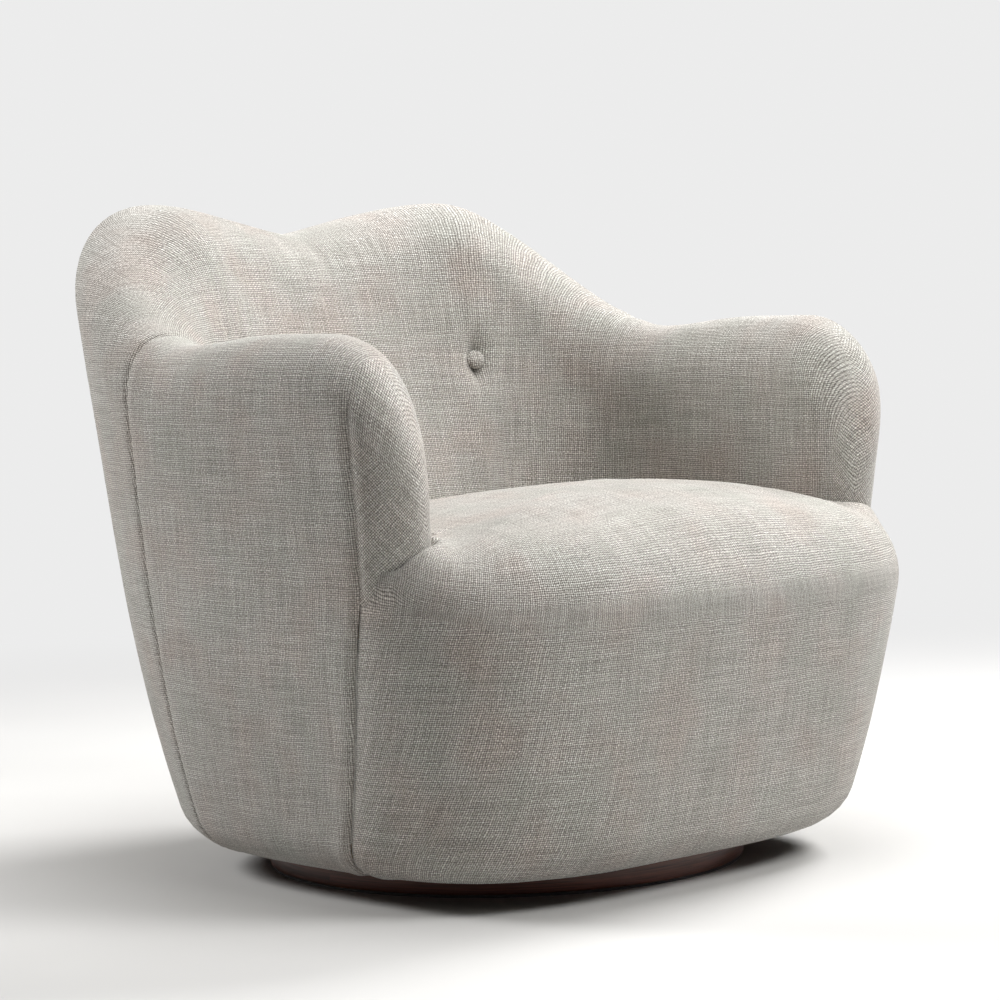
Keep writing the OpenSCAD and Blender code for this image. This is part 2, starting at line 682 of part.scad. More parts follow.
// The crown rises from the reach, its distance from the centre, at which it starts
function from_centre(p) = norm([p.x, p.y] - seat_centre);
crown_back = from_centre(wall_xy(nose_seam, apron_h, 0)) - from_centre(side_xy(nose_seam, seat_h, 0));
function front_reach_at(s) = from_centre(wall_xy(s, apron_h, 0)) - crown_back * (1 - edge_share(s));
function crown_rise(s, p, reach) =
    let (power = mix(crown_side_power, crown_front_power, edge_share(s)))
    let (k = 1 - pow(from_centre(p) / reach, power))
    (seat_h + crown_h - fold_h(s) - edge_h(s)) * (k + norm([k, soft_share])) / 2;
function crowned(s, column, reach, inset) =
    let (rim = column[len(column) - 1])
    concat(column, [for (k = crown_shares) let (p = mix(seat_centre, [rim.x, rim.y], k))
        lift(p, fold_h(s) + edge_h(s) - inset + crown_rise(s, p, reach))]);
function side_edge(s, z, turn, inset) =
    lift(further_in(s, z, side_xy(s, z, inset), wall_xy(s, z, edge_in(s, turn, inset))), z);
function side_column(s, lows, turns, inset) =
    crowned(s, concat([for (z = lows) lift(side_xy(s, z, inset), z)],
        [for (t = turns) side_edge(s, edge_z(s, t, inset), t, inset)]),
        from_centre(side_edge(s, rim_h(s), 90, 0)), inset);
function front_edge(s, turn, inset) =
    let (z = edge_z(s, turn, inset), p = wall_xy(s, z, edge_in(s, turn, inset)))
    lift(p, z + crown_rise(s, p, front_reach_at(s)));
function front_column(s, lows, gap, turns, inset) =
    crowned(s, concat([for (z = lows) wall(s, z, inset)], [wall(s, fold_h(s) + gap, inset)],
        [for (t = turns) front_edge(s, t, inset)]), front_reach_at(s), inset);
function seat_half(side_lows, front_lows, gap, turns, inset) = concat(
    [for (s = seat_sides) side_column(s, side_lows, turns, inset)],
    [for (t = nose_turns) side_column(nose_s(t, -seat_gap - inset), side_lows, turns, inset)],
    [for (s = seat_fronts(inset)) front_column(s, front_lows, gap, turns, inset)]);
function flip_x(column) = [for (p = column) [-p.x, p.y, p.z]];
function seat_grid(side_lows, front_lows, gap, turns, inset) =
    let (half = seat_half(side_lows, front_lows, gap, turns, inset))
    concat(half, [for (i = [len(half) - 2:-1:1]) flip_x(half[i])]);
function seat_top(inset) = lift(seat_centre, seat_h - inset + crown_h);

module seat_foam() {
    lows = [foam_h, leg_foam_h];
    color("khaki") cushion(seat_grid(concat(lows, [apron_h]), lows, 0, edge_turns, foam_in),
        seat_top(foam_in), lift(seat_centre, foam_h));
}
module seat_cover() {
    color("#cfc9c0") dome(seat_grid([leg_foam_h], [], seam_gap, edge_turns, 0),
        seat_grid([leg_foam_h], [], seam_gap, edge_turns, cloth_t), seat_top(0), seat_top(cloth_t));
}
pad_half = concat([for (s = seat_sides) side_xy(s, pad_h, 0)],
    [for (t = nose_turns) side_xy(nose_s(t, -seat_gap), pad_h, 0)],
    [for (s = seat_fronts(0)) wall_xy(s, pad_h, frame_in + post_gap)]);
module spring_pad() {
    color("darkkhaki") translate([0, 0, pad_h]) linear_extrude(pad_t)
        polygon(concat(pad_half, [for (i = [len(pad_half) - 2:-1:1]) [-pad_half[i].x, pad_half[i].y]]));
}

// Foam over the back and arms: over the top and down the inner face
dimple_rows = [2, 1, 0, -1, -2];
function leg_share(z) = (roll_z(button_reach) - z) / (roll_z(button_reach) - leg_foam_h);
leg_shares = concat([for (k = dimple_rows) leg_share(button_z + k * dimple_r / 2)], [0.72, 1]);
arm_leg_shares = [0.34, 1];
function hook(s, e, turns, shares) = concat([for (t = turns) over(s, t, e)],
    [for (k = shares) inner(s, mix(over(s, 180, e).z, leg_foam_h, k), e)]);
function hook_to_deck(s, e, turns, shares) =
    concat(hook(s, e, turns, shares), [inner(s, deck_h + fit_gap, e)]);
arch_turns = [0:arch_angle:180];
module back_foam() {
    color("khaki") difference() {
        skin([for (s = back_runs) hook(s, same(foam_in), arch_turns, leg_shares)],
            [for (s = back_runs) hook(s, [frame_in, back_foam_in, crest_foam_in], arch_turns, leg_shares)]);
        at_buttons() twine_path(twine_dia / 2 + fit_gap);
    }
}
module arm_foam_left() {
    color("khaki") skin([for (s = arm_runs) hook(s, same(foam_in), arch_turns, arm_leg_shares)],
        [for (s = arm_runs) hook(s, [frame_in, arm_foam_in, crest_foam_in], arch_turns, arm_leg_shares)]);
}
module arm_foam_right() {
    other_side() arm_foam_left();
}

// Front of an arm: columns run along its outer side, round the tip and back along the inner side
half_turns = [0:arch_angle:90];
function nose_column(turn, inside, inset, low) =
    let (s = nose_s(turn, inset), e = same(inset), foot = over(s, 0, e).z, middle = mix(low, foot, 0.5))
    concat([for (z = [low, middle]) inside ? inner(s, z, e) : outer(s, z, e)],
        [for (t = half_turns) over(s, inside ? 180 - t : t, e)]);
function nose_grid(turns, inset, low) = concat([for (t = turns) nose_column(t, false, inset, low)],
    [for (i = [len(turns) - 2:-1:0]) nose_column(turns[i], true, inset, low)]);
function nose_id(m, n, i, j) = j == n - 1 && i > (m - 1) / 2 ? (m - 1 - i) * n + j : i * n + j;
function nose_faces(m, n) = [for (i = [0:m - 2], j = [0:n - 2])
    let (a = nose_id(m, n, i, j), b = nose_id(m, n, i, j + 1))
    let (c = nose_id(m, n, i + 1, j), d = nose_id(m, n, i + 1, j + 1))
    each [[a, d, b], [a, c, d]]];
module nose_cloth(a, b) {
    m = len(a);
    n = len(a[0]);
    off = m * n;
    outside = nose_faces(m, n);
    inside = [for (f = outside) [f[0] + off, f[2] + off, f[1] + off]];
    low = [for (i = [0:m - 1]) i * n];
    first = [for (j = [0:n - 1]) j];
    last = [for (j = [0:n - 1]) nose_id(m, n, m - 1, j)];
    polyhedron([for (c = a) each c, for (c = b) each c], concat(outside, inside,
        strip_faces(low, [for (k = low) k + off], false),
        strip_faces(first, [for (k = first) k + off], true),
        strip_faces(last, [for (k = last) k + off], false)));
}
module nose_block(a) {
    m = len(a);
    n = len(a[0]);
    tip = (m - 1) / 2;
    function id(i, j) = nose_id(m, n, i, j);
    floor = [for (i = [0:tip - 1]) each concat([[id(i, 0), id(m - 1 - i, 0), id(i + 1, 0)]],
        i < tip - 1 ? [[id(i + 1, 0), id(m - 1 - i, 0), id(m - 2 - i, 0)]] : [])];
    rear = [for (j = [0:n - 2]) each concat([[id(0, j), id(0, j + 1), id(m - 1, j)]],
        j < n - 2 ? [[id(0, j + 1), id(m - 1, j + 1), id(m - 1, j)]] : [])];
    polyhedron([for (c = a) each c], concat(nose_faces(m, n), floor, rear));
}
nose_low = apron_h + seam_gap;
nose_foam_start = board_start + nose_board_t + post_gap;
nose_foam_turn = acos(1 - (arm_end - foam_in - nose_foam_start) / (nose_inner_r - foam_in));
module arm_front_foam_left() {
    color("khaki") nose_block(nose_grid(concat([nose_foam_turn], [for (i = [1:nose_steps]) nose_turns[i]]),
        foam_in, nose_low));
}
module arm_front_foam_right() {
    other_side() arm_front_foam_left();
}
module arm_front_cover_left() {
    color("#cfc9c0") nose_cloth(nose_grid(nose_turns, 0, nose_low),
        nose_grid(nose_turns, cloth_t, nose_low));
}
module arm_front_cover_right() {
    other_side() arm_front_cover_left();
}

// Wadding under the outside covers
wadding_low = underside_h + underside_r + layer_gap;
module back_wadding() {
    color("ivory") skin(wall_grid(back_runs, wadding_low, wadding_in),
        wall_grid(back_runs, wadding_low, wadding_in + wadding_t));
}
module side_wadding_left() {
    color("ivory") skin(wall_grid(arm_runs, wadding_low, wadding_in),
        wall_grid(arm_runs, wadding_low, wadding_in + wadding_t));
}
module side_wadding_right() {
    other_side() side_wadding_left();
}
module front_wadding() {
    color("ivory") skin(front_grid(wadding_low, foam_h - layer_gap, wadding_in),
        front_grid(wadding_low, foam_h - layer_gap, wadding_in + wadding_t));
}

// The rounding round the underside, its turn is 0 at the bottom and 90 at the wall
under_turns = [0, 30, 60, 90];
function under_in(turn, inset) = inset + (underside_r - inset) * (1 - sin(turn));
function under_z(turn, inset) = underside_h + inset + (underside_r - inset) * (1 - cos(turn));
roll_top = board_h - layer_gap;
roll_turn = acos(1 - (roll_top - underside_h - wadding_in) / (underside_r - wadding_in));
roll_back = 44;
roll_steps = 3;
module edge_roll() {
    grid = [for (s = loop_points) concat(
        [for (i = [0:roll_steps]) let (t = roll_turn * i / roll_steps)
            wall(s, under_z(t, wadding_in), under_in(t, wadding_in))],
        [wall(s, roll_top, roll_back)])];
    m = len(grid);
    n = len(grid[0]);
    function id(i, j) = (i % m) * n + j % n;
    color("ivory") polyhedron([for (c = grid) each c], [for (i = [0:m - 1], j = [0:n - 1])
        each [[id(i, j), id(i + 1, j + 1), id(i, j + 1)], [id(i, j), id(i + 1, j), id(i + 1, j + 1)]]]);
}

// Covers
inside_turns = [90.5, 112.5, 135, 157.5, 180];
outside_turns = [0, 22.5, 45, 67.5, 89.5];
arm_inside_end = nose_seam - 2 * seam_gap;
inside_runs = both_ways(concat(back_half, [for (i = [1:arm_steps]) arm_runs[i]], [arm_inside_end]));
module inside_cover() {
    color("#d8d2c9") difference() {
        skin([for (s = inside_runs) hook_to_deck(s, same(0), inside_turns, leg_shares)],
            [for (s = inside_runs) hook_to_deck(s, same(cloth_t), inside_turns, leg_shares)]);
        at_buttons() twine_path(twine_dia / 2 + fit_gap);
    }
}
// A cover outside: k is the share of the way between its two seams
function side_at(z, k) = mix(side_back(z) + seam_gap, side_front(z), k);
function back_at(z, k) = k * (side_back(z) - seam_gap);
function apron_at(z, k) = mix(min(front_seam(z), nose_seam), full_run, k);
function low_rows(inset) = [for (t = under_turns) [under_z(t, inset), under_in(t, inset)]];
function side_rows(k, inset) = concat(
    [for (r = low_rows(inset)) wall(side_at(r[0], k), r[0], r[1])],
    [for (z = wall_rows) wall(side_at(z, k), z, inset)],
    [for (t = outside_turns) let (z = over(side_at(arm_h, k), t, same(inset)).z)
        over(side_at(z, k), t, same(inset))]);
function back_rows(k, inset) = concat(
    [for (r = low_rows(inset)) wall(back_at(r[0], k), r[0], r[1])],
    [for (z = wall_rows) wall(back_at(z, k), z, inset)],
    [for (t = outside_turns) let (z = over(back_at(arm_h, k), t, same(inset)).z)
        over(back_at(z, k), t, same(inset))]);
function apron_rows(k, inset) = concat(
    [for (r = low_rows(inset)) wall(apron_at(r[0], k), r[0], r[1])],
    [for (z = wall_rows) if (z < front_fold_h) wall(apron_at(z, k), z, inset)],
    [let (z = fold_h(apron_at(apron_h, k))) wall(apron_at(z, k), z, inset)]);
back_shares = [for (s = back_runs) s / back_end];
side_shares = concat([for (s = arm_runs) (s - arm_start) / (nose_seam - arm_start)], [1]);
apron_steps = 15;
apron_shares = [for (i = [0:apron_steps]) i / apron_steps];
module outside_back_cover() {
    color("#c9c3ba") skin([for (k = back_shares) back_rows(k, 0)],
        [for (k = back_shares) back_rows(k, cloth_t)]);
}
module side_cover_left() {
    color("#c4beb5") skin([for (k = side_shares) side_rows(k, 0)],
        [for (k = side_shares) side_rows(k, cloth_t)]);
}
module side_cover_right() {
    other_side() side_cover_left();
}
module front_cover() {
    half = [for (k = apron_shares) apron_rows(k, 0)];
    half_in = [for (k = apron_shares) apron_rows(k, cloth_t)];
    color("#cdc7be") skin(concat(half, [for (i = [apron_steps - 1:-1:0]) flip_x(half[i])]),
        concat(half_in, [for (i = [apron_steps - 1:-1:0]) flip_x(half_in[i])]));
}
dust_t = 0.8;
dust_in = 46;
dust_gap = 4;
module dust_cover() {
    side = swivel_side + 2 * dust_gap;
    color("black") translate([0, 0, board_h - dust_t]) difference() {
        linear_extrude(dust_t) polygon(loop_outline(board_h, dust_in));
        translate([-side / 2, -side / 2, -cut]) cube([side, side, dust_t + 2 * cut]);
    }
}

// Webbing behind the back foam
strap_w = 44;
strap_t = 1.5;
strap_gap = 2.6;
strap_reaches = [0, 94, 182, 358, 456];
strap_rows = [0, 0.35, 0.65, 1];
function strap_point(s, k, deep) =
    inner(s, mix(deck_h + fit_gap, under_rail(s), k), [0, back_foam_in + strap_gap + deep, 0]);
module strap(s) {
    ends = [s - strap_w / 2, s, s + strap_w / 2];
    skin([for (u = ends) [for (k = strap_rows) strap_point(u, k, strap_t)]],
         [for (u = ends) [for (k = strap_rows) strap_point(u, k, 0)]]);
}
module back_webbing() {
    color("black") {
        strap(0);
        for (m = [0, 1], i = [1:len(strap_reaches) - 1]) mirror([m, 0, 0]) strap(strap_reaches[i]);
    }
}

// Buttons, square to the inner face of the back
face_step = 1;
function face_normal(s, z) =
    let (e = same(0))
    let (along = inner(s + face_step, z, e) - inner(s - face_step, z, e))
    let (up = inner(s, z + face_step, e) - inner(s, z - face_step, e))
    let (n = cross(along, up)) n / norm(n);
button_at = inner(button_reach, button_z, same(0));
button_out = face_normal(button_reach, button_z);
button_gap = 2.3;
button_lift = dimple_depth * (1 - exp(-0.25)) * button_dia / dimple_r + button_gap;
toggle_deep = (back_foam_in + strap_gap) * norm([button_out.x, button_out.y]);
module at_buttons() {
    for (m = [0, 1]) mirror([m, 0, 0]) translate(button_at)
        rotate([0, acos(button_out.z), atan2(button_out.y, button_out.x)]) children();
}
module twine_path(r) {
    translate([0, 0, -toggle_deep]) cylinder(h = toggle_deep + button_lift, r = r, $fn = small_fn);
}
module back_buttons() {
    flat = button_dia / 2 - button_rim;
    color("#d8d2c9") at_buttons() translate([0, 0, button_lift]) rotate_extrude($fn = small_fn)
        polygon([[0, 0], [flat, 0], [button_dia / 2, button_rim], [button_dia / 2, button_h / 2],
            [flat, button_h - button_rim / 2], [flat / 2, button_h], [0, button_h]]);
}
module button_twine() {
    color("white") at_buttons() twine_path(twine_dia / 2);
}
module button_toggles() {
    color("saddlebrown") at_buttons() translate([0, 0, -toggle_deep - toggle_t])
        cylinder(h = toggle_t, d = toggle_dia, $fn = small_fn);
}

floor_felt();
plinth_ring();
plinth_board();
plinth_blocks();
swivel_lower_plate();
lower_plate_bolts();
lower_nuts();
bearing_balls();
ball_cage();
pivot_rivet();
swivel_upper_plate();
upper_plate_bolts();
upper_nuts();
base_board();
seat_ring();
ring_uprights();
front_panel();
back_shell();
arm_shell_left();
arm_shell_right();
back_top_rail();
arm_top_rail_left();
arm_top_rail_right();
back_posts();
arm_posts_left();
arm_posts_right();
arm_front_board_left();
arm_front_board_right();
seat_springs();
spring_clips();
spring_pad();
back_webbing();
seat_foam();
back_foam();
arm_foam_left();
arm_foam_right();
arm_front_foam_left();
arm_front_foam_right();
back_wadding();
side_wadding_left();
side_wadding_right();
front_wadding();
edge_roll();
inside_cover();
outside_back_cover();
side_cover_left();
side_cover_right();
arm_front_cover_left();
arm_front_cover_right();
seat_cover();
front_cover();
dust_cover();
back_buttons();
button_twine();
button_toggles();
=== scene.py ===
# Swivel barrel chair: linen over a padded bent-ply body that turns on a low walnut plinth.
import math
from bisect import bisect_right

import bmesh
import bpy
from mathutils import Matrix, Vector, noise
from mathutils.kdtree import KDTree


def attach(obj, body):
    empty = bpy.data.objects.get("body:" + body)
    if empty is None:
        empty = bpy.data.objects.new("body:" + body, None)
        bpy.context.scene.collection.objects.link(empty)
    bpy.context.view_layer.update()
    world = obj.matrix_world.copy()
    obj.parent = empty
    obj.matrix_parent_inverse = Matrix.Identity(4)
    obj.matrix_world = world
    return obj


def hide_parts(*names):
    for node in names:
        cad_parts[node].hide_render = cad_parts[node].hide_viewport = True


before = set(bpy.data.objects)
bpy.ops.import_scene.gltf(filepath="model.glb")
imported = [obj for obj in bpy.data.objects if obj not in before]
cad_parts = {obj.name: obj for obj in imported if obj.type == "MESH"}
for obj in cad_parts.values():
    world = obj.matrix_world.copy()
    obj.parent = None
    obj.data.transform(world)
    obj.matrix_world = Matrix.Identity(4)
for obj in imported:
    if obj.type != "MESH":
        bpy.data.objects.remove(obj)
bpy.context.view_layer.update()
scene = bpy.context.scene
mm = 0.001

# The body's form in millimetres: its outline seen from above, its taper, and the rounded tops of back and arms
form = {
    "width": 856, "depth": 828, "widestForward": 39, "backSquareness": 2.74, "frontSquareness": 3.32,
    "fullHeight": 620, "drawIn": 71, "tuckIn": 40.7, "tuckPower": 3.81,
    "backHeight": 735, "valleyDip": 35, "valleyPower": 1.15, "armHeight": 591, "saddleDip": 10,
    "humpReach": 248, "saddleReach": 611, "riseReach": 768,
    "armThick": 120, "backTopThick": 130, "backSeatThick": 230, "backSeatHeight": 380, "deepestBack": 1.3,
    "armRoll": 83, "backRoll": 64, "rollPower": 2.2, "noseRoll": 0.3,
    "noseLength": 131, "noseDrop": 183, "noseInset": 47, "noseOuterRound": 70, "noseInnerRound": 92,
    "frontHalf": 467, "armLap": 53, "seatHeight": 369,
    "undersideHeight": 28, "undersideRound": 41, "underTuckHeight": 50, "underTuckIn": 45,
    "underLapUp": 5, "underLapIn": 2.5,
}
halfWidth = form["width"] / 2
backReach = form["depth"] / 2 + form["widestForward"]
frontReach = form["depth"] / 2 - form["widestForward"]


def mix(a, b, k):
    return a + (b - a) * k


def ease(a, b, x):
    k = min(1, max(0, (x - a) / (b - a)))
    return k * k * (3 - 2 * k)


def roundOff(x):
    return math.sqrt(1 - (1 - min(1, max(0, x))) ** 2)


def bell(x, width):
    return math.exp(-(x / width) ** 2)


def crowd(a, b, count, first=1.0, last=1.0):  # steps from a to b, closer together at an end whose share is below 1
    steps = []
    for i in range(1, count + 1):
        t = i / count
        k = (t ** 3 - 2 * t ** 2 + t) * first + (3 * t ** 2 - 2 * t ** 3) + (t ** 3 - t ** 2) * last
        steps.append(mix(a, b, k))
    return steps


def outlineAt(turn):
    n = form["backSquareness"] if turn <= 90 else form["frontSquareness"]
    reach = backReach if turn <= 90 else frontReach
    across, along = abs(math.sin(math.radians(turn))), math.cos(math.radians(turn))
    x = halfWidth * across ** (2 / n)
    return Vector((x, math.copysign(abs(along) ** (2 / n), along) * reach - form["widestForward"]))


arcSteps = 1440
turns = [180 * i / arcSteps for i in range(arcSteps + 1)]
runs = [0.0]
for i in range(1, arcSteps + 1):
    runs.append(runs[-1] + (outlineAt(turns[i]) - outlineAt(turns[i - 1])).length)
fullRun = runs[-1]


def turnAt(s):
    a = min(abs(s), fullRun - 1e-6)
    i = bisect_right(runs, a)
    return mix(turns[i - 1], turns[i], (a - runs[i - 1]) / (runs[i] - runs[i - 1]))


def place(s):  # s is the signed distance along the outline from the back's middle
    p = outlineAt(turnAt(s))
    return Vector((math.copysign(p.x, s), p.y))


def outward(s):
    p = outlineAt(turnAt(s))
    y = p.y + form["widestForward"]
    n = form["backSquareness"] if y >= 0 else form["frontSquareness"]
    reach = backReach if y >= 0 else frontReach
    gx = (p.x / halfWidth) ** (n - 1) / halfWidth
    gy = math.copysign((abs(y) / reach) ** (n - 1) / reach, y)
    return Vector((math.copysign(gx, s), gy)).normalized()


def taper(z):
    k = 1 - z / form["fullHeight"]
    return 1 - (form["drawIn"] * k + (form["tuckIn"] * k ** form["tuckPower"] if k > 0 else 0)) / halfWidth


def wallXy(s, z, inset=0.0):
    return place(s) * taper(z) - outward(s) * inset


armEnd = fullRun - form["frontHalf"] / taper(form["seatHeight"]) + form["armLap"]


def crestHeight(s):
    a = abs(s)
    hump = math.sin(math.pi / 2 * min(1, a / form["humpReach"])) ** form["valleyPower"]
    fall = form["backHeight"] - form["armHeight"] + form["saddleDip"]
    return (form["backHeight"] - form["valleyDip"] * (1 - hump) - fall * ease(form["humpReach"], form["saddleReach"], a)
            + form["saddleDip"] * ease(form["saddleReach"], form["riseReach"], a))


def noseShare(s, length):
    return roundOff((armEnd - abs(s)) / length)


def topHeight(s):
    return crestHeight(s) - form["noseDrop"] * (1 - noseShare(s, form["noseLength"]))


def rollHeight(s):
    full = mix(form["backRoll"], form["armRoll"], ease(form["humpReach"], form["saddleReach"], abs(s)))
    return full * mix(form["noseRoll"], 1, noseShare(s, form["noseLength"]))


def bodyThick(s, z):
    k = ease(form["humpReach"], form["saddleReach"], abs(s))
    low = (crestHeight(s) - z) / (crestHeight(s) - form["backSeatHeight"])
    low = min(form["deepestBack"], max(0, low))
    return mix(mix(form["backTopThick"], form["armThick"], k), mix(form["backSeatThick"], form["armThick"], k), low)


def outerXy(s, z):
    return wallXy(s, z, form["noseInset"] * (1 - noseShare(s, form["noseOuterRound"])))


def innerXy(s, z):
    face = place(s) - outward(s) * bodyThick(s, z)
    return wallXy(s, z, form["noseInset"]).lerp(face, noseShare(s, form["noseInnerRound"]))


def overTop(s, turn):  # the rounded top, from its outer foot at 0 to its inner foot at 180
    bend = 2 / form["rollPower"]
    along, up = math.cos(math.radians(turn)), abs(math.sin(math.radians(turn)))
    across = 0.5 - 0.5 * math.copysign(abs(along) ** bend, along)
    z = topHeight(s) - rollHeight(s) * (1 - up ** bend)
    return (*outerXy(s, z).lerp(innerXy(s, z), across), z)


def footHeight(s):
    return topHeight(s) - rollHeight(s)


# Seams: the front's cloth keeps its width, so its seam runs back as the body narrows
seams = {"sideReach": 552, "sideSlant": 60, "noseBack": 65, "foldHeight": 321.6, "turnBack": 70, "tipBack": 26,
         "grooveDeep": 2.4, "grooveWide": 3.0, "puff": 1.1, "puffWide": 16, "puffSoft": 0.7,
         "swing": 0.075, "swingFrom": 165, "swingLeast": -8, "swingMost": 6.5, "swingEnds": (330, 420)}
noseSeam = armEnd - seams["noseBack"]


def frontSeam(z):
    swing = seams["swing"] * (z - seams["swingFrom"])
    shift = min(seams["swingMost"], max(seams["swingLeast"], swing)) * (1 - ease(*seams["swingEnds"], z))
    return fullRun - (form["frontHalf"] + shift) / taper(z)


def lean(c, z, share=1.0):  # the place along the outline at height z of the column that has the name c
    a = abs(c)
    back = seams["sideReach"] - share * seams["sideSlant"] * max(0, 1 - z / form["armHeight"])
    front = mix(noseSeam, min(frontSeam(z), noseSeam), share)
    if a <= seams["sideReach"]:
        a = a * back / seams["sideReach"]
    elif a <= noseSeam:
        a = mix(back, front, (a - seams["sideReach"]) / (noseSeam - seams["sideReach"]))
    return math.copysign(a, c)


slack = {"broadScale": 9, "broadDeep": 0.9, "fineScale": 24, "fineDeep": 0.35, "fineFrom": Vector((7, 3, 1))}


def slackness(co):  # how far the cloth lies below its ideal surface, in mm
    return (noise.noise(co * slack["broadScale"]) * slack["broadDeep"]
            + noise.noise(co * slack["fineScale"] + slack["fineFrom"]) * slack["fineDeep"])


print("form ready: outline half", round(fullRun), "mm, arm's tip at", round(armEnd), "mm")


# Meshes
clothThick = 0.002
near = 0.00001


def meshObject(name, bm, body, material):
    mesh = bpy.data.meshes.new(name)
    bm.to_mesh(mesh)
    bm.free()
    obj = bpy.data.objects.new(name, mesh)
    scene.collection.objects.link(obj)
    mesh.materials.append(material)
    for polygon in mesh.polygons:
        polygon.use_smooth = True
    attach(obj, body)
    return obj


def clothThickness(obj):
    wall = obj.modifiers.new("thickness", "SOLIDIFY")
    wall.thickness = clothThick
    wall.offset = -1
    wall.use_even_offset = False


def gridOf(columns, rows, pointAt):  # a grid whose vertices go where pointAt says, with their column and row kept
    bm = bmesh.new()
    bm.loops.layers.uv.new("panel")
    bm.loops.layers.uv.new("inside")
    bm.verts.layers.float.new("insideShare")
    bmesh.ops.create_grid(bm, x_segments=len(columns) - 1, y_segments=len(rows) - 1, size=1)
    tags = {}
    for v in bm.verts:
        i = round((v.co.x + 1) / 2 * (len(columns) - 1))
        j = round((v.co.y + 1) / 2 * (len(rows) - 1))
        tags[v] = (i, j)
        v.co = Vector(pointAt(columns[i], rows[j])) * mm
    return bm, tags


def spinRound(bm, steps, within):  # the profile's vertices and edges, round the upright axis
    bmesh.ops.spin(bm, geom=bm.verts[:] + bm.edges[:], cent=(0, 0, 0), axis=(0, 0, 1), angle=math.tau, steps=steps,
                   use_merge=True)
    bmesh.ops.remove_doubles(bm, verts=bm.verts, dist=within)


def facesOut(bm, vertex, axis):  # the vertex given is one whose normal has to point along the axis
    bmesh.ops.recalc_face_normals(bm, faces=bm.faces)
    bm.normal_update()
    if vertex.normal[axis] < 0:
        bmesh.ops.reverse_faces(bm, faces=bm.faces)
        bm.normal_update()


# Materials
def nodeTree(holder):
    tree = holder.node_tree
    tree.nodes.clear()
    return tree


def node(tree, kind, inputs=None, **settings):
    made = tree.nodes.new(kind)
    for name, value in settings.items():
        setattr(made, name, value)
    for name, value in (inputs or {}).items():
        if isinstance(value, bpy.types.NodeSocket):
            tree.links.new(value, made.inputs[name])
        else:
            made.inputs[name].default_value = value
    return made


def blendValue(tree, share, a, b):
    return node(tree, "ShaderNodeMix", {0: share, 2: a, 3: b}).outputs[0]


def maths(tree, operation, a, b=0.0, c=0.0, clamp=False):
    return node(tree, "ShaderNodeMath", {0: a, 1: b, 2: c}, operation=operation, use_clamp=clamp).outputs[0]


def rgb(red, green, blue):  # screen values from 0 to 255 as scene-linear colour
    values = [v / 255 for v in (red, green, blue)]
    return (*[v / 12.92 if v <= 0.04045 else ((v + 0.055) / 1.055) ** 2.4 for v in values], 1.0)


def ramp(tree, value, stops):
    made = node(tree, "ShaderNodeValToRGB", {0: value})
    band = made.color_ramp
    while len(band.elements) < len(stops):
        band.elements.new(0.5)
    for element, (spot, colour) in zip(band.elements, stops):
        element.position = spot
        element.color = colour
    return made.outputs["Color"]


def blendColour(tree, share, a, b, kind="MIX"):
    return node(tree, "ShaderNodeMix", {0: share, 6: a, 7: b}, data_type="RGBA", blend_type=kind).outputs[2]


def fuzz(tree, vector, scale, detail=2.0, rough=0.5, flat=False):
    return node(tree, "ShaderNodeTexNoise", {"Vector": vector, "Scale": scale, "Detail": detail, "Roughness": rough},
                noise_dimensions="2D" if flat else "3D").outputs["Fac"]


def stretch(tree, vector, x, y, z=1.0):
    return node(tree, "ShaderNodeMapping", {"Vector": vector, "Scale": (x, y, z)}).outputs[0]


def placeIn(tree):  # the object's own coordinates
    return node(tree, "ShaderNodeTexCoord").outputs["Object"]


def chart(tree, name):
    return node(tree, "ShaderNodeUVMap", uv_map=name).outputs[0]


def group(name, ins, outs):
    made = bpy.data.node_groups.new(name, "ShaderNodeTree")
    for socket, kind in ins:
        made.interface.new_socket(socket, in_out="INPUT", socket_type=kind)
    for socket, kind in outs:
        made.interface.new_socket(socket, in_out="OUTPUT", socket_type=kind)
    return made, node(made, "NodeGroupInput"), node(made, "NodeGroupOutput")


def finishMaterial(name, **uniform):  # a material with its surface, the uniform values on the surface's own sockets
    material = bpy.data.materials.new(name)
    material.use_nodes = True
    tree = nodeTree(material)
    surface = node(tree, "ShaderNodeBsdfPrincipled", uniform)
    node(tree, "ShaderNodeOutputMaterial", {"Surface": surface.outputs[0]})
    return material, tree, surface


def bumpInto(tree, surface, height, strength, distance):
    bump = node(tree, "ShaderNodeBump", {"Height": height, "Strength": strength, "Distance": distance})
    tree.links.new(bump.outputs[0], surface.inputs["Normal"])


weave = {"threadsPerMetre": 440, "wobble": 0.0032, "wobbleScale": 38, "threadRound": 0.6, "crossSoft": 0.1,
         "warpStreak": (420, 14), "weftStreak": (12, 460), "fleckScale": 520}
weaveValues = ("Height", "Streak", "Fleck")


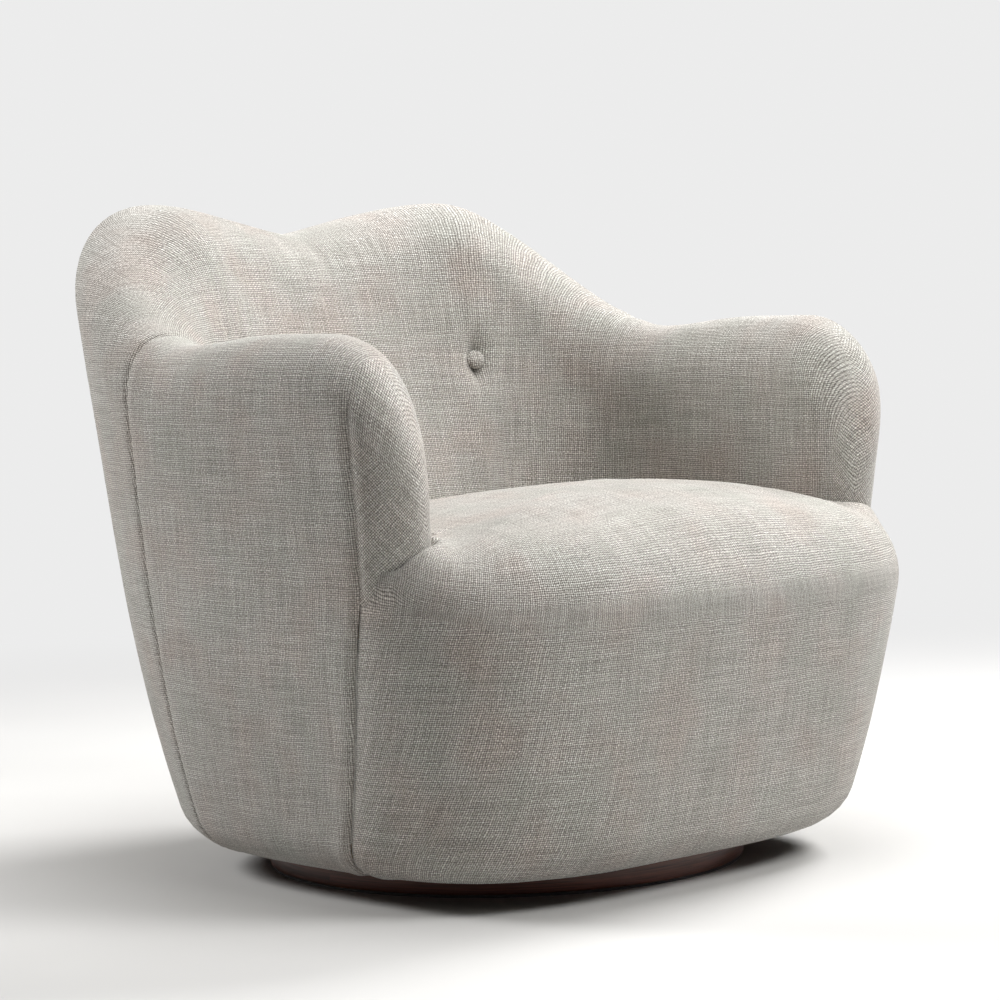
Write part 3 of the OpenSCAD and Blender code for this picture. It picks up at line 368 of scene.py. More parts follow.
def makeWeaveGroup():
    tree, ins, outs = group("plainWeave", [("Vector", "NodeSocketVector"), ("Threads", "NodeSocketFloat")],
                            [(name, "NodeSocketFloat") for name in weaveValues])
    threads = ins.outputs["Threads"]
    flat = ins.outputs["Vector"]
    wobble = node(tree, "ShaderNodeTexNoise", {"Vector": flat, "Scale": weave["wobbleScale"], "Detail": 3.0},
                  noise_dimensions="2D").outputs["Color"]
    shift = node(tree, "ShaderNodeVectorMath", {0: wobble, 1: (0.5, 0.5, 0.5)}, operation="SUBTRACT").outputs[0]
    shift = node(tree, "ShaderNodeVectorMath", {0: shift, "Scale": weave["wobble"]}, operation="SCALE").outputs[0]
    moved = node(tree, "ShaderNodeVectorMath", {0: flat, 1: shift}, operation="ADD").outputs[0]
    parts = node(tree, "ShaderNodeSeparateXYZ", {0: moved})
    u = maths(tree, "MULTIPLY", maths(tree, "MULTIPLY", parts.outputs[0], threads), math.pi)
    v = maths(tree, "MULTIPLY", maths(tree, "MULTIPLY", parts.outputs[1], threads), math.pi)
    a, b = maths(tree, "SINE", u), maths(tree, "SINE", v)
    heights = []
    for own, other, way in ((a, b, 0.5), (b, a, -0.5)):
        thread = maths(tree, "POWER", maths(tree, "ABSOLUTE", own), weave["threadRound"])
        over = maths(tree, "MULTIPLY_ADD", maths(tree, "MULTIPLY", other, maths(tree, "SIGN", own)), way, 0.5)
        heights.append(maths(tree, "MULTIPLY", thread, over))
    height = maths(tree, "SMOOTH_MAX", heights[0], heights[1], weave["crossSoft"])
    warpStreak, weftStreak = (fuzz(tree, stretch(tree, moved, *weave[way]), 1.0, rough=0.6, flat=True)
                              for way in ("warpStreak", "weftStreak"))
    over = maths(tree, "GREATER_THAN", heights[0], heights[1])
    streak = blendValue(tree, over, weftStreak, warpStreak)
    fleck = fuzz(tree, moved, weave["fleckScale"], rough=0.7, flat=True)
    for name, value in zip(weaveValues, (height, streak, fleck)):
        tree.links.new(value, outs.inputs[name])
    return tree


weaveGroup = makeWeaveGroup()


# Stops of the linen's colours, and for all but the first how much of them is laid over the ones before
linenLook = {
    # weave: colour by thread height, painted shade in the gaps between threads and painted highlight on the thread
    # crowns
    "weave": [(0.03, rgb(66, 63, 60)), (0.4, rgb(158, 155, 151)), (0.8, rgb(255, 254, 252))],
    "streak": [(0.34, rgb(206, 203, 199)), (0.5, rgb(232, 230, 227)), (0.66, rgb(255, 255, 253))],
    "fleck": [(0.36, rgb(178, 174, 170)), (0.55, rgb(248, 247, 245)), (0.7, rgb(255, 255, 255))],
    "warmth": [(0.3, rgb(244, 247, 243)), (0.5, rgb(253, 252, 250)), (0.7, rgb(253, 244, 240))],
    "cloud": [(0.35, rgb(242, 241, 239)), (0.65, rgb(255, 255, 255))],
    "shares": {"streak": 1.0, "fleck": 0.85, "warmth": 0.8, "cloud": 0.7},
    "warmthScale": 14, "cloudScale": 9, "streakRelief": 0.5,
}


def linenMaterial(name):
    material, tree, surface = finishMaterial(name, Roughness=0.92, **{"Sheen Weight": 0.25, "Sheen Roughness": 0.55,
                                                                     "Specular IOR Level": 0.25})
    share = node(tree, "ShaderNodeAttribute", attribute_name="insideShare").outputs["Fac"]
    first, second = (node(tree, "ShaderNodeGroup", {"Vector": chart(tree, uvMap), "Threads": weave["threadsPerMetre"]},
                          node_tree=weaveGroup) for uvMap in ("panel", "inside"))
    height, streak, fleck = (blendValue(tree, share, first.outputs[key], second.outputs[key]) for key in weaveValues)
    coords = placeIn(tree)
    layers = {"streak": streak, "fleck": fleck, "warmth": fuzz(tree, coords, linenLook["warmthScale"]),
              "cloud": fuzz(tree, coords, linenLook["cloudScale"], detail=3.0, rough=0.55)}
    # painted shade in the thread gaps and painted highlight on the thread crowns, taken from the thread height
    colour = ramp(tree, height, linenLook["weave"])
    for key, value in layers.items():
        colour = blendColour(tree, linenLook["shares"][key], colour, ramp(tree, value, linenLook[key]), "MULTIPLY")
    tree.links.new(colour, surface.inputs["Base Color"])
    rough = maths(tree, "MULTIPLY_ADD", height, -0.1, 0.98)
    tree.links.new(rough, surface.inputs["Roughness"])
    relief = maths(tree, "ADD", height, maths(tree, "MULTIPLY", streak, linenLook["streakRelief"]))
    bumpInto(tree, surface, relief, strength=0.75, distance=0.0011)
    return material


def timberMaterial(name, dark, light, along=(1, 1, 1), rough=0.6, coat=0.0, uvMap=None, depth=0.0002):
    material, tree, surface = finishMaterial(name, Roughness=rough, **{"Coat Weight": coat, "Coat Roughness": 0.2})
    drawn = stretch(tree, chart(tree, uvMap) if uvMap else placeIn(tree), *along)
    grain = fuzz(tree, drawn, 1.0, detail=6.0, rough=0.62)
    pores = fuzz(tree, drawn, 5.5, detail=3.0, rough=0.7)
    middle = tuple(mix(a, b, 0.55) for a, b in zip(dark, light))
    colour = ramp(tree, grain, [(0.3, dark), (0.52, middle), (0.72, light)])
    shade = ramp(tree, pores, [(0.36, rgb(120, 110, 104)), (0.5, rgb(255, 255, 255))])
    colour = blendColour(tree, 0.6, colour, shade, "MULTIPLY")
    tree.links.new(colour, surface.inputs["Base Color"])
    tree.links.new(maths(tree, "MULTIPLY_ADD", pores, -0.25, rough + 0.12), surface.inputs["Roughness"])
    bumpInto(tree, surface, pores, strength=0.4, distance=depth)
    return material


def metalMaterial(name, colour, rough, scratch=(40, 40, 900)):
    material, tree, surface = finishMaterial(name, Metallic=1.0)
    coords = placeIn(tree)
    marks = fuzz(tree, stretch(tree, coords, *scratch), 1.0, detail=4.0, rough=0.6)
    darker = (*[0.72 * v for v in colour[:3]], 1.0)
    worn = ramp(tree, fuzz(tree, coords, 60, detail=3.0), [(0.35, darker), (0.65, colour)])
    tree.links.new(worn, surface.inputs["Base Color"])
    tree.links.new(maths(tree, "MULTIPLY_ADD", marks, 0.3, rough - 0.12), surface.inputs["Roughness"])
    bumpInto(tree, surface, marks, strength=0.25, distance=0.0001)
    return material


def fibreMaterial(name, dark, light, scale, rough=0.95, stretched=(1, 1, 1), depth=0.0006, sheen=0.2):
    material, tree, surface = finishMaterial(name, Roughness=rough, **{"Sheen Weight": sheen})
    coords = placeIn(tree)
    drawn = stretch(tree, coords, *stretched)
    fibre = fuzz(tree, drawn, scale, detail=5.0, rough=0.7)
    cloud = fuzz(tree, coords, scale * 0.06)
    colour = ramp(tree, fibre, [(0.3, dark), (0.7, light)])
    colour = blendColour(tree, 0.25, colour, ramp(tree, cloud, [(0.35, dark), (0.65, light)]))
    tree.links.new(colour, surface.inputs["Base Color"])
    tree.links.new(maths(tree, "MULTIPLY_ADD", fibre, -0.15, rough + 0.04, clamp=True), surface.inputs["Roughness"])
    bumpInto(tree, surface, fibre, strength=0.6, distance=depth)
    return material


linen = linenMaterial("linen")
walnut = timberMaterial("walnutBand", rgb(54, 29, 22), rgb(124, 70, 52), (3, 140, 140), 0.38, 0.25, "grain")
plywood = timberMaterial("plywood", rgb(176, 138, 96), rgb(214, 182, 138), (8, 8, 260), 0.72)
pine = timberMaterial("pine", rgb(186, 146, 96), rgb(222, 190, 142), (30, 30, 6), 0.7)
steel = metalMaterial("zincSteel", rgb(178, 180, 182), 0.36)
blackSteel = metalMaterial("blackSteel", rgb(44, 44, 46), 0.5)
ballSteel = metalMaterial("ballSteel", rgb(206, 208, 210), 0.2)
brass = metalMaterial("brass", rgb(196, 160, 88), 0.32)
felt = fibreMaterial("felt", rgb(40, 38, 37), rgb(74, 70, 68), 900)
webbing = fibreMaterial("webbing", rgb(24, 24, 26), rgb(58, 58, 62), 500, 0.85, (1, 1, 6))
foam = fibreMaterial("foam", rgb(214, 198, 150), rgb(240, 228, 190), 700, 0.95, (1, 1, 1), 0.0004, 0.0)
wadding = fibreMaterial("wadding", rgb(214, 212, 206), rgb(246, 245, 241), 260, 0.98, (1, 1, 1), 0.0015, 0.3)
lining = fibreMaterial("lining", rgb(20, 20, 21), rgb(44, 43, 44), 1100, 0.9)
twine = fibreMaterial("twine", rgb(196, 186, 164), rgb(232, 224, 206), 1500, 0.8)
plastic = fibreMaterial("plastic", rgb(96, 66, 44), rgb(112, 80, 56), 300, 0.45, (1, 1, 1), 0.0001, 0.0)
print("materials ready")

# The cover of back and arms, one run of cloth from the underside over the tops to the seat
# "Ends" are the degrees over the rounded top between which something fades out, or in
shell = {"underSteps": 6, "lowSteps": 24, "highSteps": 28, "topSteps": 30, "insideSteps": 46, "aboveButton": 0.45,
         "insideLow": 296, "columns": [34, 32, 40, 18], "closeAtSeam": 0.12, "closeAtButton": 0.45, "closeInside": 0.5,
         "sideGrooveEnds": (70, 125), "noseGrooveEnds": (10, 62), "lowGroove": 1.25, "reliefFrom": 120,
         "insideEnds": (70, 115), "tipFrom": 2, "tipTo": 5, "biasTurn": 42, "noseWeaveHeight": 480, "topWeave": 0.7,
         "joinWithin": 0.00005}
button = {"reach": 273, "height": 549, "dimple": 15, "dimpleWide": 29, "pinch": 4.5, "pinchWide": 14, "narrow": 0.8,
          "crease": 1.3, "creaseWide": 4.5, "creaseLong": 95, "creaseFull": 20, "creaseTop": 12, "creaseLean": 0.03,
          "pull": 0.9, "pullWide": 5, "pullStart": (10, 30), "pullEnd": (40, 110),
          "pullLines": ((6, 0.10), (-9, -0.16), (-24, -0.3))}  # each line's height and slope

insideStart = (footHeight(button["reach"]) - button["height"]) / (footHeight(button["reach"]) - shell["insideLow"])
insideRows = int(shell["insideSteps"] * shell["aboveButton"])
lowerRows = [("tuck", 0), ("tuck", 1)] + [("under", 90 * i / shell["underSteps"]) for i in range(shell["underSteps"])]
shellRows = (lowerRows + [("low", k) for k in [0] + crowd(0, 1, shell["lowSteps"])]
             + [("high", k) for k in crowd(0, 1, shell["highSteps"])]
             + [("top", k) for k in crowd(0, 180, shell["topSteps"])]
             + [("in", k) for k in crowd(0, insideStart, insideRows, 1, shell["closeInside"])]
             + [("in", k) for k in crowd(insideStart, 1, shell["insideSteps"] - insideRows, shell["closeInside"], 1)])
foldRow = shellRows.index(("low", 1.0))
topRows = [j for j, (kind, k) in enumerate(shellRows) if kind == "top"]
insideShares = [k for kind, k in shellRows if kind == "in"]
highShares = [0] + crowd(0, 1, shell["highSteps"])
counts = shell["columns"]
noseTurn = math.degrees(math.acos(1 - seams["noseBack"] / form["noseInnerRound"]))
halfColumns = ([0.0] + crowd(0, button["reach"], counts[0], 1, shell["closeAtButton"])
               + crowd(button["reach"], seams["sideReach"], counts[1], shell["closeAtButton"], shell["closeAtSeam"])
               + crowd(seams["sideReach"], noseSeam, counts[2], shell["closeAtSeam"], shell["closeAtSeam"])
               + [armEnd - form["noseInnerRound"] * (1 - math.cos(math.radians(noseTurn * (1 - i / counts[3]))))
                  for i in range(1, counts[3] + 1)])
shellColumns = [-c for c in reversed(halfColumns[1:])] + halfColumns
middleColumn = len(halfColumns) - 1


def underInset(turn):
    return form["undersideRound"] * (1 - math.sin(math.radians(turn)))


def underHeight(turn):
    return form["undersideHeight"] + form["undersideRound"] * (1 - math.cos(math.radians(turn)))


def underPoint(kind, k, sAt):  # the cloth round the lower edge, and its end turned up to the base board
    if kind == "tuck":
        z = mix(form["underTuckHeight"], form["undersideHeight"] + form["underLapUp"], k)
        inset = mix(form["underTuckIn"], form["undersideRound"] + form["underLapIn"], k)
    else:
        z, inset = underHeight(k), underInset(k)
    return (*wallXy(sAt(z), z, inset), z)


def shellPoint(c, row):
    kind, k = row
    if kind in ("tuck", "under"):
        return underPoint(kind, k, lambda z: lean(c, z))
    if kind == "low":
        z = mix(underHeight(90), seams["foldHeight"], k)
        return (*outerXy(lean(c, z), z), z)
    if kind == "high":
        z = mix(seams["foldHeight"], footHeight(c), k)
        return (*outerXy(lean(c, z), z), z)
    if kind == "top":
        z = topHeight(c) - rollHeight(c)
        return overTop(lean(c, z + rollHeight(c) * k / 90, max(0, 1 - k / 90)), k)
    z = mix(mix(footHeight(c), shell["insideLow"], k), tipHeight(c, insideShares.index(k) + 1),
            ease(noseSeam - seams["turnBack"], armEnd - shell["tipFrom"], abs(c)))
    return (*innerXy(c, z), z)


def tipHeight(c, n):  # heights at which the rows inside and outside meet at the arm's tip
    if n <= shell["highSteps"]:
        return mix(seams["foldHeight"], footHeight(c), highShares[shell["highSteps"] - n])
    below = (n - shell["highSteps"]) / (shell["insideSteps"] - shell["highSteps"])
    return mix(seams["foldHeight"], shell["insideLow"], below)


def buttonRelief(c, z):  # the pulled-in place round a button, its crease and its pull lines
    d, h = abs(c) - button["reach"], z - button["height"]
    run = button["narrow"] * d
    far = math.hypot(run, h)
    deep = button["dimple"] * bell(far, button["dimpleWide"]) + button["pinch"] * bell(far, button["pinchWide"])
    below = ease(-button["creaseLong"], -button["creaseFull"], h) * (1 - ease(-button["creaseTop"], 0, h))
    deep += button["crease"] * bell(run - button["creaseLean"] * h, button["creaseWide"]) * below
    beside = ease(*button["pullStart"], abs(run)) * (1 - ease(*button["pullEnd"], abs(run)))
    for up, slope in button["pullLines"]:
        deep += button["pull"] * bell(h - up - slope * abs(run), button["pullWide"]) * beside
    return deep


def grooveDepth(distance):
    puff = seams["puff"] * bell(abs(distance) - seams["puffWide"], seams["puffWide"] * seams["puffSoft"])
    return seams["grooveDeep"] * bell(distance, seams["grooveWide"]) - puff


def reliefDepth(c, j, z):  # seam grooves, and the relief round the buttons, at row j
    kind, k = shellRows[j]
    onSide = {"top": 1 - ease(*shell["sideGrooveEnds"], k), "in": 0}.get(kind, 1)
    onNose = {"top": 1 - ease(*shell["noseGrooveEnds"], k), "in": 0}.get(kind, 1)
    deep = grooveDepth(abs(c) - seams["sideReach"]) * onSide
    deep += grooveDepth(abs(c) - noseSeam) * onNose * (shell["lowGroove"] if j <= foldRow else 1)
    if kind == "in" or kind == "top" and k > shell["reliefFrom"]:
        deep += buttonRelief(c, z)
    return deep


def sink(bm, depthAt):  # moves every vertex in along its normal, all of them judged before the first one moves
    moves = {v: -v.normal * (depthAt(v) + slackness(v.co)) * mm for v in bm.verts}
    for v, move in moves.items():
        v.co += move


def clothHeights(sections):  # lengths up the cloth of each column, for the chart of the outside and of the inside
    panelV, insideV = {}, {}
    foot, last = topRows[0] - 1, topRows[-1]
    for i, column in sections.items():
        rows = sorted(column)
        along, at = 0.0, {}
        for a, b in zip(rows, rows[1:]):
            at[a] = along
            along += (column[a] - column[b]).length
        at[rows[-1]] = along
        for j in rows:
            panelV[i, j] = column[foot].z + at[j] - at[foot]
            insideV[i, j] = column[last].z + at[last] - at[j]
    return panelV, insideV


def noseRuns():  # lengths round the arm's front from its tip, at the outer and the inner face
    runsRound = {}
    for face, way in ((outerXy, -1), (innerXy, 1)):
        spots = [face(c, shell["noseWeaveHeight"]) for c in halfColumns]
        run = 0.0
        for n in range(middleColumn, middleColumn + 1 - counts[3] - counts[2], -1):
            runsRound[n, way] = way * run * mm
            run += (spots[n] - spots[n - 1]).length
    return runsRound


def insideRuns():  # lengths along the inside from the back's middle
    spots = [innerXy(c, shell["noseWeaveHeight"]) * mm for c in shellColumns]
    runsAlong = {middleColumn: 0.0}
    for way in (1, -1):
        run = 0.0
        for n in range(1, middleColumn + 1):
            i = middleColumn + way * n
            run += (spots[i] - spots[i - way]).length
            runsAlong[i] = way * run
    return runsAlong


def makeShell():
    bm, tags = gridOf(shellColumns, shellRows, shellPoint)
    gone = [f for f in bm.faces
            if all(abs(shellColumns[tags[v][0]]) >= noseSeam - 1e-6 and tags[v][1] <= foldRow for v in f.verts)]
    bmesh.ops.delete(bm, geom=gone, context="FACES")
    middle = min(bm.verts, key=lambda v: (abs(tags[v][0] - middleColumn), abs(tags[v][1] - foldRow)))
    facesOut(bm, middle, 1)
    sections = {}
    for v in bm.verts:
        sections.setdefault(tags[v][0], {})[tags[v][1]] = v.co.copy()
    panelV, insideV = clothHeights(sections)
    noseU, insideU = noseRuns(), insideRuns()
    midTop = (topRows[0] + topRows[-1]) // 2
    sink(bm, lambda v: reliefDepth(shellColumns[tags[v][0]], tags[v][1], v.co.z / mm))
    panel, inner = bm.loops.layers.uv["panel"], bm.loops.layers.uv["inside"]
    share = bm.verts.layers.float["insideShare"]
    bias = math.radians(shell["biasTurn"])
    for v in bm.verts:
        i, j = tags[v]
        kind, k = shellRows[j]
        value = {"top": ease(*shell["insideEnds"], k), "in": 1.0}.get(kind, 0.0)
        atTip = ease(armEnd - seams["tipBack"] + shell["tipFrom"], armEnd - shell["tipTo"], abs(shellColumns[i]))
        v[share] = value * (1 - atTip)
    for f in bm.faces:
        a = sum(abs(shellColumns[tags[v][0]]) for v in f.verts) / len(f.verts)
        faceInside = all(tags[v][1] > midTop for v in f.verts)
        for loop in f.loops:
            i, j = tags[loop.vert]
            c, z, up = shellColumns[i], loop.vert.co.z / mm, panelV[i, j]
            loop[inner].uv = (insideU[i], insideV[i, j])
            if a < seams["sideReach"]:
                loop[panel].uv = (c * taper(z) * mm, up)
            elif a < (armEnd - seams["tipBack"] if faceInside else noseSeam):
                centre = math.copysign((seams["sideReach"] + noseSeam) / 2, c)
                loop[panel].uv = ((c - centre) * taper(z) * mm + centre * mm, up)
            else:
                kind, k = shellRows[j]
                n = abs(i - middleColumn)
                over = {"in": 1, "top": k / 180}.get(kind, 0)
                u, w = math.copysign(1, c) * mix(noseU[n, -1], noseU[n, 1], over), loop.vert.co.z
                if kind == "top":
                    w = mix(sections[i][topRows[0] - 1].z, w, shell["topWeave"])
                loop[panel].uv = (u * math.cos(bias) - w * math.sin(bias), u * math.sin(bias) + w * math.cos(bias))
    bmesh.ops.remove_doubles(bm, verts=bm.verts, dist=shell["joinWithin"])
    bmesh.ops.recalc_face_normals(bm, faces=bm.faces)
    obj = meshObject("bodyCover", bm, "seat", linen)
    clothThickness(obj)
    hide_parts("inside_cover", "outside_back_cover", "side_cover_left", "side_cover_right",
                "arm_front_cover_left", "arm_front_cover_right")
    return obj


bodyCover = makeShell()
print("body cover:", len(bodyCover.data.polygons), "faces")

# Seat and front, one run of cloth: up the front, over the rounded edge and the crown, and down at the inner faces
seat = {"foldHeight": 321, "frontFold": 292, "rimArms": 376, "rimBack": 332, "rimFrom": 300, "rimTo": 700,
        "top": 422, "sidePower": 1.71, "frontPower": 2.4, "soft": 0.1, "cornerDeep": 29, "edgeDeep": 107,
        "edgeHigh": 74, "cornerReach": 906, "edgeReach": 1120, "centreForward": 152, "gap": 1.2, "sideLow": 300,
        "rayTurn": 1.4, "rayReach": 70, "rayFrom": 0.84, "seamDeep": 4.2, "seamRound": 6, "puff": 1.6, "puffAt": 30,
        "puffWide": 18, "lowSteps": 26, "edgeSteps": 20, "crownSteps": 40, "frontSteps": 76, "closeAtSeam": 0.15,
        "sideColumns": 110, "poleWithin": 0.0005, "weaveTurnRows": (-12, 4), "weaveStep": 0.006}
seatCentre = Vector((0, -seat["centreForward"]))

# Where the seat meets the walls it tucks in, and beside the arms' fronts it swells up as an ear
ear = {"tuck": 16, "tuckBack": 7, "tuckWide": 5, "lift": 10, "liftOut": 31, "liftWide": 16, "refine": (12, 7),
       "low": seat["foldHeight"] - 4, "high": seat["foldHeight"] + 10, "in": wallXy(armEnd, seat["foldHeight"]).x,
       "out": wallXy(noseSeam, seat["foldHeight"]).x, "backLap": 50, "backFade": 90}
ear["back"] = wallXy(armEnd, seat["foldHeight"], form["noseInset"]).y + ear["backLap"]
walls = {"insideHeight": 372, "insideSteps": 699, "outsideHeight": 350, "outsideSteps": 299, "outsideLap": 30}


def sideRim(s, z=form["seatHeight"]):
    return innerXy(s, z) - outward(s) * seat["gap"]


def rimHeight(s):
    return mix(seat["rimBack"], seat["rimArms"], ease(seat["rimFrom"], seat["rimTo"], abs(s)))


def edgeShare(s):  # 0 at the corner beside an arm, 1 along the front edge
    return ease(seat["cornerReach"], seat["edgeReach"], abs(s))


def foldAt(s):
    return mix(seat["foldHeight"], seat["frontFold"], edgeShare(s))


def edgeHigh(s):
    return mix(rimHeight(s) - seat["foldHeight"], seat["edgeHigh"], edgeShare(s))


setBack = (wallXy(noseSeam, seat["foldHeight"]) - seatCentre).length - (sideRim(noseSeam) - seatCentre).length


def crownReach(s):
    return (wallXy(s, seat["foldHeight"]) - seatCentre).length - setBack * (1 - edgeShare(s))


def crownRise(s, spot, reach):
    k = 1 - ((spot - seatCentre).length / reach) ** mix(seat["sidePower"], seat["frontPower"], edgeShare(s))
    return (seat["top"] - foldAt(s) - edgeHigh(s)) * (k + math.hypot(k, seat["soft"])) / 2


def edgePoint(s, turn):
    z = foldAt(s) + edgeHigh(s) * math.sin(math.radians(turn))
    deep = mix(seat["cornerDeep"], seat["edgeDeep"], edgeShare(s))
    spot = wallXy(frontAt(s, z), z, deep * (1 - math.cos(math.radians(turn))))
    return (*spot, z + crownRise(s, spot, crownReach(s)))


seatRows = (lowerRows + [("low", k) for k in [0] + crowd(0, 1, seat["lowSteps"])]
            + [("edge", 90 * i / seat["edgeSteps"]) for i in range(1, seat["edgeSteps"] + 1)]
            + [("crown", k) for k in crowd(1, 0, seat["crownSteps"])])
rimRow = seatRows.index(("edge", 90.0))
seatHalf = ([("side", noseSeam * i / seat["sideColumns"]) for i in range(seat["sideColumns"] + 1)]
            + [("front", s) for s in [noseSeam] + crowd(noseSeam, fullRun, seat["frontSteps"], seat["closeAtSeam"], 1)])
seatColumns = seatHalf + [(kind, -s) for kind, s in reversed(seatHalf[:-1])]


def seatPoint(column, row):
    side, s = column
    kind, k = row
    if side == "side":
        rim, reach, low = sideRim(s), (sideRim(s) - seatCentre).length, rimHeight(s)
        if kind != "crown":
            z = mix(seat["sideLow"], low + crownRise(s, rim, reach), min(1, seatRows.index(row) / rimRow))
            return (*sideRim(s, z), z)
    else:
        if kind in ("tuck", "under"):
            return underPoint(kind, k, lambda z: frontAt(s, z))
        if kind == "low":
            z = mix(underHeight(90), foldAt(s), k)
            return (*wallXy(frontAt(s, z), z), z)
        if kind == "edge":
            return edgePoint(s, k)
        rim, reach, low = Vector(edgePoint(s, 90)[:2]), crownReach(s), foldAt(s) + edgeHigh(s)
    spot = seatCentre.lerp(rim, k)
    if side == "front":  # keeps these rays beside those of the inner faces
        aside = math.radians(seat["rayTurn"]) * (1 - ease(noseSeam, noseSeam + seat["rayReach"], abs(s)))
        aside *= 1 - ease(seat["rayFrom"], 1, k)
        spot = seatCentre + Matrix.Rotation(math.copysign(aside, -s), 2) @ (spot - seatCentre)
    return (*spot, low + crownRise(s, spot, reach))


def frontAt(s, z):  # columns of the front lean with its seam
    start = min(frontSeam(z), noseSeam)
    return math.copysign(mix(start, fullRun, (abs(s) - noseSeam) / (fullRun - noseSeam)), s)


def wallTree():  # finds how far a place on the seat is from the faces of the back and the arms
    count, spots = walls["insideSteps"], []
    for side in (1, -1):
        spots += [innerXy(side * armEnd * i / count, walls["insideHeight"]) for i in range(count + 1)]
    count, start = walls["outsideSteps"], noseSeam - walls["outsideLap"]
    for side in (1, -1):
        spots += [outerXy(side * mix(start, armEnd, i / count), walls["outsideHeight"]) for i in range(count + 1)]
    tree = KDTree(len(spots))
    for i, p in enumerate(spots):
        tree.insert((p.x, p.y, 0), i)
    tree.balance()
    return tree


armWalls = wallTree()


def wallGap(co):
    return armWalls.find((co.x / mm, co.y / mm, 0))[2]


def tuckAndLift(bm, walled):  # the mesh is made finer there first, apart from the hidden walls
    for within in ear["refine"]:
        close = {v: v not in walled and v.co.z > seat["foldHeight"] * mm and wallGap(v.co) < within
                 for v in bm.verts}
        edges = [e for e in bm.edges if all(close[v] for v in e.verts)]
        bmesh.ops.subdivide_edges(bm, edges=edges, cuts=1, use_grid_fill=True)
    for v in bm.verts:
        above = ease(ear["low"], ear["high"], v.co.z / mm)
        gap, atFront = wallGap(v.co), 1 - ease(ear["back"], ear["back"] + ear["backFade"], v.co.y / mm)
        deep = mix(ear["tuckBack"], ear["tuck"], atFront) * bell(gap, ear["tuckWide"])
        lift = mix(ear["lift"], ear["liftOut"], ease(ear["in"], ear["out"], abs(v.co.x) / mm))
        v.co.z += (lift * bell(gap, ear["liftWide"]) * atFront - deep) * above * mm


def makeSeat():
    bm, tags = gridOf(seatColumns, seatRows, seatPoint)
    kinds = {v: (seatColumns[tags[v][0]], tags[v][1]) for v in bm.verts}
    seatFold, turned = rimRow - seat["edgeSteps"], [rimRow + more for more in seat["weaveTurnRows"]]
    inner = [f for f in bm.faces if len({kinds[v][0][0] for v in f.verts}) == 2
             and all(kinds[v][1] <= rimRow for v in f.verts)]
    bmesh.ops.delete(bm, geom=inner, context="FACES")
    pole = [v for v in bm.verts if tags[v][1] == len(seatRows) - 1]
    bmesh.ops.remove_doubles(bm, verts=pole, dist=seat["poleWithin"])
    ends = [v for v in bm.verts if kinds[v][0][0] == "side" and abs(kinds[v][0][1]) < 1e-9]
    bmesh.ops.remove_doubles(bm, verts=ends, dist=near)
    facesOut(bm, max(bm.verts, key=lambda v: v.co.z), 2)

    def seamDepth(v):
        (side, s), row = kinds[v]
        if side == "side" or row > seatFold:
            return 0.0
        far = abs(s) - noseSeam
        puff = seat["puff"] * bell(far - seat["puffAt"], seat["puffWide"])
        return seat["seamDeep"] * math.exp(-far / seat["seamRound"]) - puff

    sink(bm, seamDepth)
    panel, inner = bm.loops.layers.uv["panel"], bm.loops.layers.uv["inside"]
    share = bm.verts.layers.float["insideShare"]
    for v in bm.verts:
        (side, s), row = kinds[v]
        v[share] = 1.0 if side == "side" else ease(*turned, row)
    for f in bm.faces:
        for loop in f.loops:
            (side, s), row = kinds[loop.vert]
            p = loop.vert.co
            loop[inner].uv = (p.x, p.y)
            around = (fullRun - abs(s)) * taper(min(p.z / mm, seat["foldHeight"])) * mm
            over = max(0, row - seatFold) * seat["weaveStep"]
            loop[panel].uv = (math.copysign(around, s), min(p.z, seat["foldHeight"] * mm) + over)
    tuckAndLift(bm, {v for v in bm.verts if kinds[v][0][0] == "side" and kinds[v][1] < rimRow})
    obj = meshObject("seatCover", bm, "seat", linen)
    clothThickness(obj)
    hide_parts("seat_cover", "front_cover")
    return obj


seatCover = makeSeat()
print("seat cover:", len(seatCover.data.polygons), "faces")


# Buttons of the inside back, covered in the same linen
knob = {"profile": [(0.0, 7.6), (3.0, 7.5), (6.2, 6.9), (9.0, 5.6), (10.8, 3.8), (11.5, 2.0), (11.3, 0.6), (10.2, -0.8),
                    (0.0, -1.2)], "spins": 48, "pleats": 14, "pleatDeep": 0.35, "pleatUp": 0.3, "pleatEnds": (6, 10),
        "sink": 10.5, "joinWithin": 0.01}


def makeButton(name, side):
    bm = bmesh.new()
    points = [bm.verts.new((r, 0, z)) for r, z in knob["profile"]]
    for a, b in zip(points, points[1:]):
        bm.edges.new((a, b))
    spinRound(bm, knob["spins"], knob["joinWithin"])
    bmesh.ops.recalc_face_normals(bm, faces=bm.faces)
    s, z = side * button["reach"], button["height"]
    along = Vector((*innerXy(s + side, z), z)) - Vector((*innerXy(s - side, z), z))
    up = Vector((*innerXy(s, z + 1), z + 1)) - Vector((*innerXy(s, z - 1), z - 1))
    out = along.cross(up).normalized() * side
    at = Vector((*innerXy(s, z), z)) - out * knob["sink"]
    turn = out.to_track_quat("Z", "Y").to_matrix()
    for v in bm.verts:
        angle, r = math.atan2(v.co.y, v.co.x), math.hypot(v.co.x, v.co.y)
        pleat = knob["pleatDeep"] * ease(*knob["pleatEnds"], r) * math.cos(knob["pleats"] * angle)
        v.co += Vector((math.cos(angle), math.sin(angle), knob["pleatUp"])) * pleat
    panel, inner = bm.loops.layers.uv.new("panel"), bm.loops.layers.uv.new("inside")
    for f in bm.faces:
        for loop in f.loops:
            loop[panel].uv = loop[inner].uv = (loop.vert.co.x * mm, loop.vert.co.y * mm)
    for v in bm.verts:
        v.co = (turn @ v.co + at) * mm
    obj = meshObject(name, bm, "seat", linen)
    smooth = obj.modifiers.new("smooth", "SUBSURF")
    smooth.levels = smooth.render_levels = 1
    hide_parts("back_buttons")


